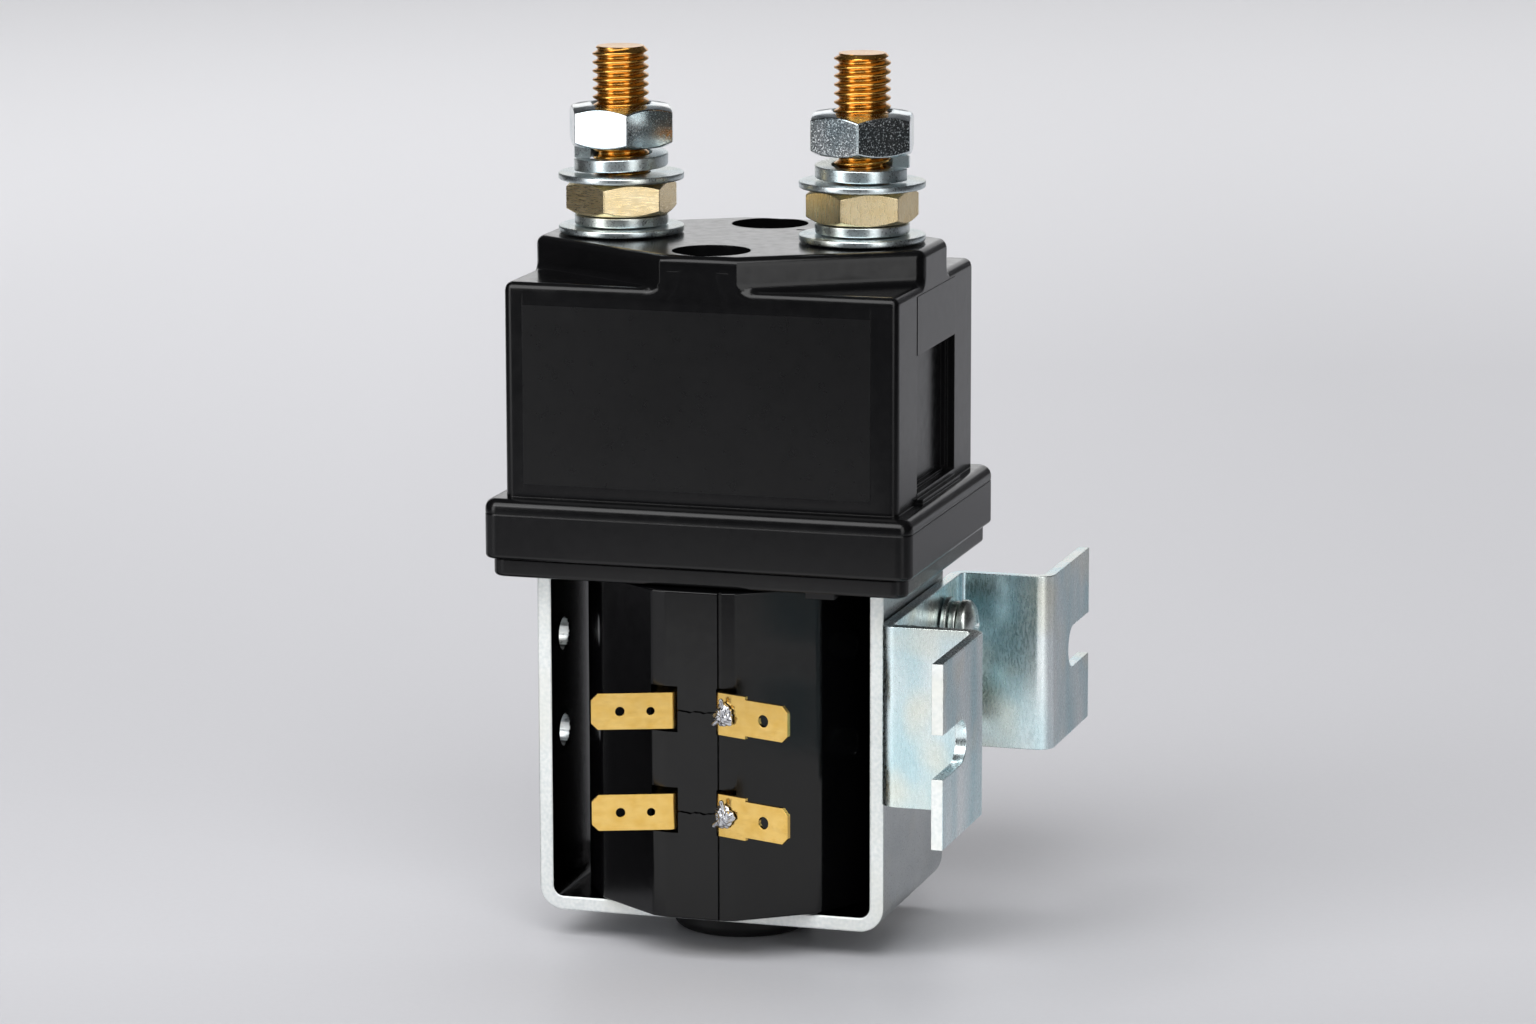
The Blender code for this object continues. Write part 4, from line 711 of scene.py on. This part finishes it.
# %%
SPLAY, FRONT_Y = math.radians(20.5), 30.3
LEFT_LEG, RIGHT_LEG, LEFT_TIP, RIGHT_TIP = 3.3, 4.9, 16.3, 18.9
BLADE_HALF, STRIP_HALF, STRIP_SHEET, CHAMFER = 3.15, 3.7, 0.8, 1.15
SHOULDER_X, JOINT_X, LUMP, WIRE = 10.5, 6.6, (1.9, 1.25, 2.0), 0.42
LEAD_ENDS = (((0.1, -1.1, 1.1), (-0.2, -1.5, 2.9)), ((-0.9, -1.0, -0.8), (-2.1, -1.2, -1.9)))


def on_blade(side, leg, x, z):
    """Frame of a blade at |X| = x: its own X along the blade, its Y through the sheet."""
    y = -FRONT_Y - (x - leg) * math.tan(SPLAY)
    turn = math.pi + SPLAY if side < 0 else -SPLAY
    return (Matrix.Translation(Vector((side * x, y, z)) * MM)
            @ Matrix.Rotation(turn, 4, "Z"))


def strip_path():
    """Plan of a strip: tip, left leg, back of the bar, right leg, tip, bends of 0.6 mm."""
    drop = math.tan(SPLAY)
    back = -RIDGE_Y + 0.9 + 0.25 + 0.4
    return bent([(-LEFT_TIP, -FRONT_Y - (LEFT_TIP - LEFT_LEG) * drop), (-LEFT_LEG, -FRONT_Y),
                 (-LEFT_LEG, back), (RIGHT_LEG, back), (RIGHT_LEG, -FRONT_Y),
                 (RIGHT_TIP, -FRONT_Y - (RIGHT_TIP - RIGHT_LEG) * drop)], 0.6, 6)


def strip(z):
    """A contact strip cut to its blades, with its holes and chamfered tips."""
    made = prism(sheet(strip_path(), STRIP_SHEET), z - STRIP_HALF, z + STRIP_HALF)
    after = on_blade(1, RIGHT_LEG, SHOULDER_X, z)
    for side in (-1, 1):
        carve(made, box((-40, -80, z + side * BLADE_HALF), (RIGHT_LEG, 0, z + side * 40)),
              box((0, -40, side * BLADE_HALF), (40, 40, side * 40), after))
    half = CHAMFER / math.sqrt(2)
    corner = Matrix.Rotation(math.pi / 4, 4, "Y")
    for side, leg, x in ((-1, LEFT_LEG, LEFT_TIP), (1, RIGHT_LEG, RIGHT_TIP)):
        for edge in (-BLADE_HALF, BLADE_HALF):
            place = on_blade(side, leg, x, z) @ Matrix.Translation((0, 0, edge * MM)) @ corner
            carve(made, box((-half, -20, -half), (half, 20, half), place))
    for side, leg, x, radius in ((-1, LEFT_LEG, 11.7, 0.8), (-1, LEFT_LEG, 6.8, 0.7),
                                 (1, RIGHT_LEG, 14.1, 1.05)):
        lie = on_blade(side, leg, x, z) @ Matrix.Rotation(math.pi / 2, 4, "X")
        circle = arc((0, 0), radius, 0, 352.5, 47)
        carve(made, prism(circle, -20, 20, lie))
    return made


def solder_lump(z, seed):
    """Half an ellipsoid with the radii LUMP, times 1 + a sum of sines of its two angles."""
    u = np.linspace(0, 2 * np.pi, 96, endpoint=False)
    v = np.linspace(0.001, np.pi / 2, 40)
    u, v = np.meshgrid(u, v)
    swell = (1 + 0.10 * np.sin(3 * u + seed) * np.sin(v)
             + 0.07 * np.sin(5 * u + 2 * seed + 3 * v) * np.sin(v)
             + 0.05 * np.sin(9 * v + seed) + 0.04 * np.sin(11 * u - 7 * v) * np.sin(v))
    x = LUMP[0] * np.sin(v) * np.cos(u) * swell
    h = LUMP[1] * np.cos(v) * swell
    w = LUMP[2] * np.sin(v) * np.sin(u) * swell
    return shape(np.stack([x, -h - 0.65, w], -1), turn=on_blade(1, RIGHT_LEG, JOINT_X, z))


def wire_stub(start_at, end_at):
    """A short wire of radius WIRE between two points, with a chamfered end."""
    length = float(np.linalg.norm(end_at - start_at))
    profile = [(0, 0), (WIRE, 0), (WIRE, length - 0.2), (WIRE * 0.7, length), (0, length)]
    turn = Vector(end_at - start_at).to_track_quat("Z", "Y").to_matrix().to_4x4()
    turn.translation = Vector(start_at * MM)
    return shape(around(profile, 20), ends=False, turn=turn)


for seed, (level, z) in enumerate(LEVELS.items()):
    blade = show(strip(z), "contact_strip_" + level, brass,
                 ["coil_terminal_" + level], 0.2, 3)
    joint = show(solder_lump(z, 1.3 + 2.1 * seed), "solder_lump_" + level, solder,
                 ["solder_joint_" + level], sharp=60)
    place = on_blade(1, RIGHT_LEG, JOINT_X, z)
    for number, lead in enumerate(LEAD_ENDS, 1):
        ends = [np.array(place @ (Vector(point) * MM)) / MM for point in lead]
        show(wire_stub(*ends), f"lead_end_{level}_{number}", solder)
    facts(blade, joint)

# %% [markdown]
# ## End cap
#
# A round cup closes the lower end of the guide tube. The part stands on it, so its bottom
# is flat, with a round of 1.8 mm at the edge.

# %%
edge = [(10.4 + 1.8 * math.cos(a), 1.8 + 1.8 * math.sin(a))
        for a in np.radians(np.linspace(0, -90, 13))]
cap = shape(around([(0, 2.0), (TUBE_HOLE, 2.0), (TUBE_HOLE, 4.9), (11.9, 4.9), (12.2, 4.6),
                    *edge, (0, 0)]), ends=False)
show(cap, "end_cup", cap_moulding, ["end_cap"])
facts(cap)

# %% [markdown]
# ## Studs
#
# The studs are M10 with the usual 1.5 mm pitch, turned from brass. The thread is a
# surface whose radius depends on the phase z / pitch - a / 2 pi, so it climbs to the right.
# Its crests are a little rounded, its top is chamfered, and it runs down to the plateau.

# %%
PITCH, CREST, THREAD_DEPTH = 1.5, 4.87, 0.86
THREAD_LOW, STUD_TOP, CHAMFER_DEPTH = 121.2, 154.6, 0.85


def stud(x, turn):
    """r = crest - depth * s(tri(phase)), cut by the cone r = top + crest - chamfer - z."""
    angle = np.linspace(0, 2 * np.pi, 96, endpoint=False)
    z = np.append(np.arange(THREAD_LOW, STUD_TOP + 1e-9, PITCH / 14), STUD_TOP)
    phase = z[:, None] / PITCH - (angle[None, :] + turn) / (2 * np.pi)
    ramp = np.abs(2 * (phase % 1.0) - 1)
    root = np.clip((ramp - 0.16) / 0.70, 0, 1)
    root = root * root * (3 - 2 * root) * 0.35 + root * 0.65
    run_in = np.clip((z[:, None] - 121.6) / 0.8, 0, 1)
    r = CREST - THREAD_DEPTH * root * run_in
    r = np.minimum(r, np.maximum(STUD_TOP + CREST - CHAMFER_DEPTH - z[:, None], 0))
    thread = np.stack([x + r * np.cos(angle), r * np.sin(angle),
                       np.repeat(z[:, None], len(angle), 1)], -1)
    head = around([(0, 104.75), (5.5, 104.75), (5.5, 106.5), (7.5, 106.5), (7.5, 110.25),
                   (CREST, 110.25), (CREST, 121.1)])
    head[..., 0] += x
    close = np.array([(x, 0.0, STUD_TOP)] * len(angle))[None]
    return shape(np.concatenate([head, thread, close]), ends=False)


studs = [show(stud(side * STUD_X, twist), "stud_thread_" + name, stud_brass,
              ["contact_stud_" + name], sharp=50)
         for name, side, twist in (("left", -1, 0.6), ("right", 1, 2.4))]
facts(*studs)

# %% [markdown]
# ## Springs on the plunger
#
# Both springs are hidden. In the real part the return spring is pressed together by the whole
# stroke, and the contact spring by what the bridge lags behind the shaft. Each is drawn wire
# wound round a mandrel, with its end turns closer together. A helix that eases at both ends
# gives that.

# %%
STROKE, LAG, EASE = 4.0, 1.2, 0.6


def coil_spring(radius, wire, low, high, turns):
    """A wire's circle led round a helix: at share s of its length the centre has turned by
    2 pi n s and climbed by s - EASE * sin(2 pi s) / (2 pi) of the way up."""
    share = np.linspace(0, 1, int(turns * 36) + 1)[:, None]
    circle = np.linspace(0, 2 * math.pi, 12, endpoint=False)[None, :]
    angle = 2 * math.pi * turns * share
    climb = (high - low - wire) * (share - EASE * np.sin(2 * math.pi * share) / (2 * math.pi))
    reach = radius + wire / 2 * np.cos(circle)
    return shape(np.stack([reach * np.cos(angle), reach * np.sin(angle),
                           low + wire / 2 + climb + wire / 2 * np.sin(circle)], axis=-1))


def spring(name, low, high, seat, travel, body, **wound):
    """Show a wound spring in its body. Its seat and travel are not used."""
    piece = show(coil_spring(low=low, high=high, **wound), name + "_spring_wound",
                 spring_steel, [name + "_spring"], sharp=60, body=body)
    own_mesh(piece)
    facts(piece)


spring("return", 28.35, 44.10, seat=44.10, travel=STROKE, body="contactor_body",
       radius=4.3, wire=1.1, turns=5.5)
spring("contact", 86.10, 93.60, seat=86.10, travel=LAG, body="armature",
       radius=3.9, wire=1.0, turns=4.5)

# %% [markdown]
# ## Washers and nuts
#
# Washers are stamped, so their sections are rectangles with rounded corners. A spring
# washer is the same section led round a helix, with a cut. A nut's side has the radius
# a / cos(b) of a hexagon, and its chamfer is a cone at 30 degrees, so the row of points
# between them follows both: that gives the curved edge seen on each face of a real nut.

# %%
FLATS, WASHER, RING = 17.0, 10.9, 8.15


def washer(outer, inner, low, thickness, at, corner=0.28, steps=96):
    """A ring whose section is a rounded rectangle, about Z at a place (x, y)."""
    section = rounded(outer - inner, thickness, corner, 4,
                      ((outer + inner) / 2, low + thickness / 2))
    return shape(around(section, steps) + np.array((*at, 0)), loop=True)


def spring_ring(outer, width, height, low, at, begin, opening, rise=0.0, way=1, late=1.0,
                steps=90):
    """The section at angle b + way * s * sweep, lifted by rise * s^late, for s in 0..1."""
    section = rounded(width, height, 0.22, 3, (outer - width / 2, height / 2))
    share = np.linspace(0, 1, steps + 1)
    angle = math.radians(begin) + way * (2 * math.pi - math.radians(opening)) * share
    r, h = section[:, 0], section[:, 1]
    grid = np.stack([at[0] + np.cos(angle)[:, None] * r, at[1] + np.sin(angle)[:, None] * r,
                     low + h + (rise * share ** late)[:, None]], -1)
    return shape(grid)


def nut(height, low, x, turn, crown=0.0):
    """Hexagon r = a / cos(b), b the angle from a face's middle, cut by 30 degree cones, with
    its top falling by crown millimetres towards the rim."""
    angle = np.radians(np.arange(0, 360, 2.5))
    radius = FLATS / 2 / np.cos((angle + math.pi / 6) % (math.pi / 3) - math.pi / 6)
    face, lead = 0.97 * FLATS / 2, 0.45
    drop = (radius - face) * math.tan(math.radians(30))
    rows = [(STUD_HOLE, lead), (STUD_HOLE + lead, 0), (face, 0), (radius, drop),
            (radius, height - crown - drop), (face, height - crown),
            (STUD_HOLE + lead, height), (STUD_HOLE, height - lead)]
    spin = angle + math.radians(turn + 30)
    grid = np.stack([np.stack([x + r * np.cos(spin), r * np.sin(spin), low + z + 0 * spin], -1)
                     for r, z in rows])
    return shape(grid, loop=True)


def fittings(side, x, brass_turn, steel_turn, brushed, **cut):
    """The washers and nuts on one stud, from its foot up."""
    at = (x, 0)
    facts(
        show(washer(WASHER, STUD_HOLE, 122.35, 1.15, at), "base_washer_fine_" + side,
             zinc_plate, ["base_washer_" + side]),
        show(spring_ring(RING, 2.85, 1.7, 123.75, at, 195, 8), "lock_flat_" + side,
             zinc_plate, ["lower_spring_washer_" + side]),
        show(nut(5.6, 125.7, x, brass_turn), "nut_brass_" + side, brushed,
             ["brass_nut_" + side], 0.14, 3, 25),
        show(washer(WASHER, STUD_HOLE, 131.55, 1.15, at), "upper_washer_fine_" + side,
             zinc_plate, ["upper_washer_" + side]),
        show(spring_ring(RING, 2.85, 2.15, 132.95, at, opening=8, rise=2.05, **cut),
             "lock_open_" + side, zinc_plate, ["upper_spring_washer_" + side]),
        show(nut(7.3, 137.4, x, steel_turn, crown=0.4), "nut_steel_" + side, zinc_nut,
             ["terminal_nut_" + side], 0.20, 3, 25))


fittings("left", -STUD_X, 30, -66.5, pale_brass, begin=-160, way=1, late=1.0)
fittings("right", STUD_X, -36, -79, upright_brass, begin=-5, way=-1, late=2.2)

# %% [markdown]
# ## Bracket screws
#
# Four pan head screws with a cross recess hold the bracket, each on a spring washer and a
# plain washer. They are made upright about Z, with the recess cut by two tapered bars, and
# then laid along +X into their holes.

# %%
FACE = 33.6


def laid(y, z, x):
    """Matrix that lays a piece made about Z along +X, its foot at (x, y, z)."""
    turn = Matrix.Rotation(math.pi / 2, 4, "Y")
    turn.translation = Vector((x, y, z)) * MM
    return turn


def bar(half_length, half_width, low, high):
    """A bar that tapers to 0.55 of its plan at the bottom."""
    plan = np.array([(-half_length, -half_width), (half_length, -half_width),
                     (half_length, half_width), (-half_length, half_width)])
    return shape(stack([(plan * 0.55, low), (plan, high)]))


def pan_head():
    """Dome r = 4.6 cos(b), z = 1 + 1.9 sin(b), over a 1 mm rim and a plain shank."""
    b = np.radians(np.linspace(90, 0, 17))
    dome = np.stack([4.6 * np.cos(b), 1.0 + 1.9 * np.sin(b)], 1)
    rest = [(4.6, 0.2), (4.4, 0.0), (2.45, 0.0), (2.45, -7.6), (0, -7.6)]
    head = shape(around(np.concatenate([dome, rest]), 64), ends=False)
    return carve(head, bar(2.4, 0.5, 1.5, 3.2), bar(0.5, 2.4, 1.5, 3.2))


places = [(y, z) for z in HOLE_Z for y in (-HOLE_Y, HOLE_Y)]
for number, (y, z) in enumerate(places, 1):
    flat = washer(5.0, SCREW_HOLE, 0, 1.0, (0, 0), 0.2, 64)
    ring = spring_ring(4.35, 1.65, 1.25, 0, (0, 0), 20 + 47 * number, 12, steps=60)
    head = pan_head()
    for piece, x, name, node, edge in (
            (flat, FACE, "screw_washer", "bracket_washer", 0.0),
            (ring, FACE + 1.25, "screw_spring", "bracket_spring_washer", 0.0),
            (head, FACE + 2.75, "screw_pan", "bracket_screw", 0.06)):
        piece.data.transform(laid(y, z, x))
        show(piece, f"{name}_{number}", zinc_plate, [f"{node}_{number}"],
             edge, angle=50)
facts(flat, ring, head)

# %% [markdown]
# ## Studio
#
# The photograph was taken on a pale sweep. The whole backdrop is floor, since the camera
# looks down on it. Its colour holds painted light and shade: it is painted dark nearest the
# camera, painted darker where the shadow falls to the right behind the part, and painted
# lighter away from the camera. One soft panel hangs over the front, one stands at each side
# and one behind, and one lights the far floor. Flags and cards are seen only in the
# reflections.

# %%
VIEW_AXIS, ACROSS_AXIS = (-0.286, 0.958, 0.0), (0.958, 0.286, 0.0)
SWEEP_HALF, SWEEP_BACK, SWEEP_ROUND, SWEEP_TOP = 4.0, 2.6, 0.8, 3.0
CARD_HEIGHT, FLAG_X, FLAG_SPAN, FLAG_TOP = 0.0008, 0.55, (-0.39, 0.25), 0.8


def painted_light_floor():
    """A pale sweep with a faint sheen: painted shade nearest the camera, a painted shadow to
    the right behind the part, and painted light that grows lighter away from the camera.
    """
    material, tree, shader, place = start("studio_sweep")
    along, across = [add(tree, "ShaderNodeVectorMath", {0: place, 1: axis},
                         operation="DOT_PRODUCT").outputs["Value"]
                     for axis in (VIEW_AXIS, ACROSS_AXIS)]
    # painted shadow: behind the part, the floor to its right is painted darker
    side = between(tree, across, 0.0, 1.0, -0.10, 0.16)
    grain = noise(tree, place, 1.2, 2.0)
    near = blend(tree, grain, srgb("BFBFC3"), srgb("C3C3C7"))
    middle = blend(tree, side, srgb("D3D3D7"), srgb("C3C3C7"))
    # painted shade in front, nearest the camera, then lighter away from it as painted light
    colour = srgb("5C5C60")
    for begin, end, further in ((-0.45, -0.02, near), (0.10, 0.60, middle),
                                (0.60, 1.70, srgb("F6F6F9"))):
        colour = blend(tree, between(tree, along, 0.0, 1.0, begin, end), colour, further)
    feed(tree, shader, Base_Color=colour, Roughness=0.45, IOR=1.28)
    return material


def sweep_points():
    """Points across the sweep, in metres: z = 0 up to y = SWEEP_BACK, an arc, then a wall."""
    angle = np.radians(np.linspace(0, 90, 17))
    y = SWEEP_BACK + SWEEP_ROUND * np.sin(angle)
    z = SWEEP_ROUND - SWEEP_ROUND * np.cos(angle)
    side = [(-SWEEP_HALF, 0), *zip(y, z), (SWEEP_BACK + SWEEP_ROUND, SWEEP_TOP)]
    return [(x, y, z) for y, z in side for x in (-SWEEP_HALF, SWEEP_HALF)]


points = sweep_points()
faces = [(i, i + 1, i + 3, i + 2) for i in range(0, len(points) - 2, 2)]
data = bpy.data.meshes.new("sweep")
data.from_pydata(points, [], faces)
data.shade_smooth()
data.materials.append(painted_light_floor())
sweep = link("sweep", data)


def panel(name, azimuth, elevation, distance, width, height, power, target=(0, 0, 0.08)):
    """A soft rectangular light, azimuth from the front (-Y) towards +X, aimed at target."""
    light = bpy.data.lights.new(name, "AREA")
    light.shape = "RECTANGLE"
    light.size, light.size_y = width, height
    light.energy = power
    a, e = math.radians(azimuth), math.radians(elevation)
    away = Vector((math.sin(a) * math.cos(e), -math.cos(a) * math.cos(e), math.sin(e)))
    lamp = link(name, light)
    lamp.location = Vector(target) + away * distance
    lamp.rotation_euler = away.to_track_quat("Z", "Y").to_euler()
    return lamp


panel("panel_key", -6, 50, 1.05, 1.40, 0.70, 13.0)
panel("panel_left", -38, 16, 0.60, 0.24, 0.50, 1.15)
panel("panel_right", 46, 16, 0.60, 0.22, 0.50, 0.75)
panel("panel_behind", -163.4, 11, 2.30, 2.00, 0.60, 4.3, target=(0, 0, 0.122))
far = panel("panel_far", -163.4, 88, 1.90, 3.20, 1.50, 14.0, target=(-0.25, 0.85, 0.0))
far.data.spread = math.radians(80)
far.visible_glossy = False


def card(name, corners, dark, pale, unseen=("camera", "diffuse", "shadow")):
    """A flat card, in cloth of two near colours, hidden from the rays that unseen names."""
    data = bpy.data.meshes.new(name)
    data.from_pydata(corners, [], [(0, 1, 2, 3)])
    material, tree, shader, place = start(name)
    cloth = noise(tree, place, 3.0)
    feed(tree, shader, Base_Color=blend(tree, cloth, srgb(dark), srgb(pale)), Roughness=0.9)
    if "shadow" in unseen:  # clear from below, so that the floor under it shows no edge
        under = add(tree, "ShaderNodeNewGeometry").outputs["Backfacing"]
        feed(tree, shader, Alpha=between(tree, under, 1.0, 0.0, 0.0, 1.0))
    data.materials.append(material)
    made = link(name, data)
    for kind in unseen:
        setattr(made, "visible_" + kind, False)


for x, name in ((-FLAG_X, "flag_left"), (FLAG_X, "flag_right")):
    front, back = FLAG_SPAN
    card(name, [(x, front, 0), (x, back, 0), (x, back, FLAG_TOP), (x, front, FLAG_TOP)],
         "121213", "1A1A1B", ["camera"])
ahead, beside = Vector(VIEW_AXIS), Vector(ACROSS_AXIS)
card("white_card", [ahead * a + beside * b + Vector((0, 0, CARD_HEIGHT / 2))
                    for a, b in ((-0.30, -0.20), (-0.30, 0.20), (-0.045, 0.20), (-0.045, -0.20))],
     "F2F2F2", "F6F6F6")
for name, (x0, x1), (y0, y1), dark, pale in (
        ("grey_card", (0.06, 0.27), (0.14, 0.43), "9A9A9E", "9E9EA2"),
        ("black_card", (-0.36, -0.05), (-0.07, 0.02), "1C1C1E", "222224")):
    plan = ((x0, y0), (x1, y0), (x1, y1), (x0, y1))
    card(name, [(x, y, CARD_HEIGHT) for x, y in plan], dark, pale)

world = bpy.data.worlds.new("studio")
bpy.context.scene.world = world
world.use_nodes = True
tree = world.node_tree
add(tree, tree.nodes["Background"], {"Color": srgb("D6D7DB"), "Strength": 0.09})
print("studio: sweep, 5 panels, 2 flags, 3 cards on the floor, world")

# %% [markdown]
# ## Camera
#
# The lens and place come from fitting a camera to some fifty corners of the photograph:
# about 0.97 m away, 17 degrees to the right of the front and 11 degrees above it.

# %%
CAMERA_PLACE = (0.27870, -0.91715, 0.25704)
CAMERA_YAW, CAMERA_PITCH, CAMERA_ROLL = 16.632, 10.830, -0.115
CAMERA_LENS = 131.2

lens = bpy.data.cameras.new("photo_camera")
lens.lens = CAMERA_LENS
lens.sensor_width = 36.0
lens.clip_start, lens.clip_end = 0.05, 20.0
camera = link("photo_camera", lens)
camera.matrix_world = (Matrix.Translation(CAMERA_PLACE)
                       @ Matrix.Rotation(math.radians(CAMERA_YAW), 4, "Z")
                       @ Matrix.Rotation(math.radians(90 - CAMERA_PITCH), 4, "X")
                       @ Matrix.Rotation(math.radians(CAMERA_ROLL), 4, "Z"))
bpy.context.scene.camera = camera
bpy.context.scene.view_settings.view_transform = "Standard"
print("camera:", [round(v, 4) for v in camera.location], "lens", lens.lens)

# %% [markdown]
# ## End
#
# The view layer is brought up to date.

# %%
bpy.context.view_layer.update()
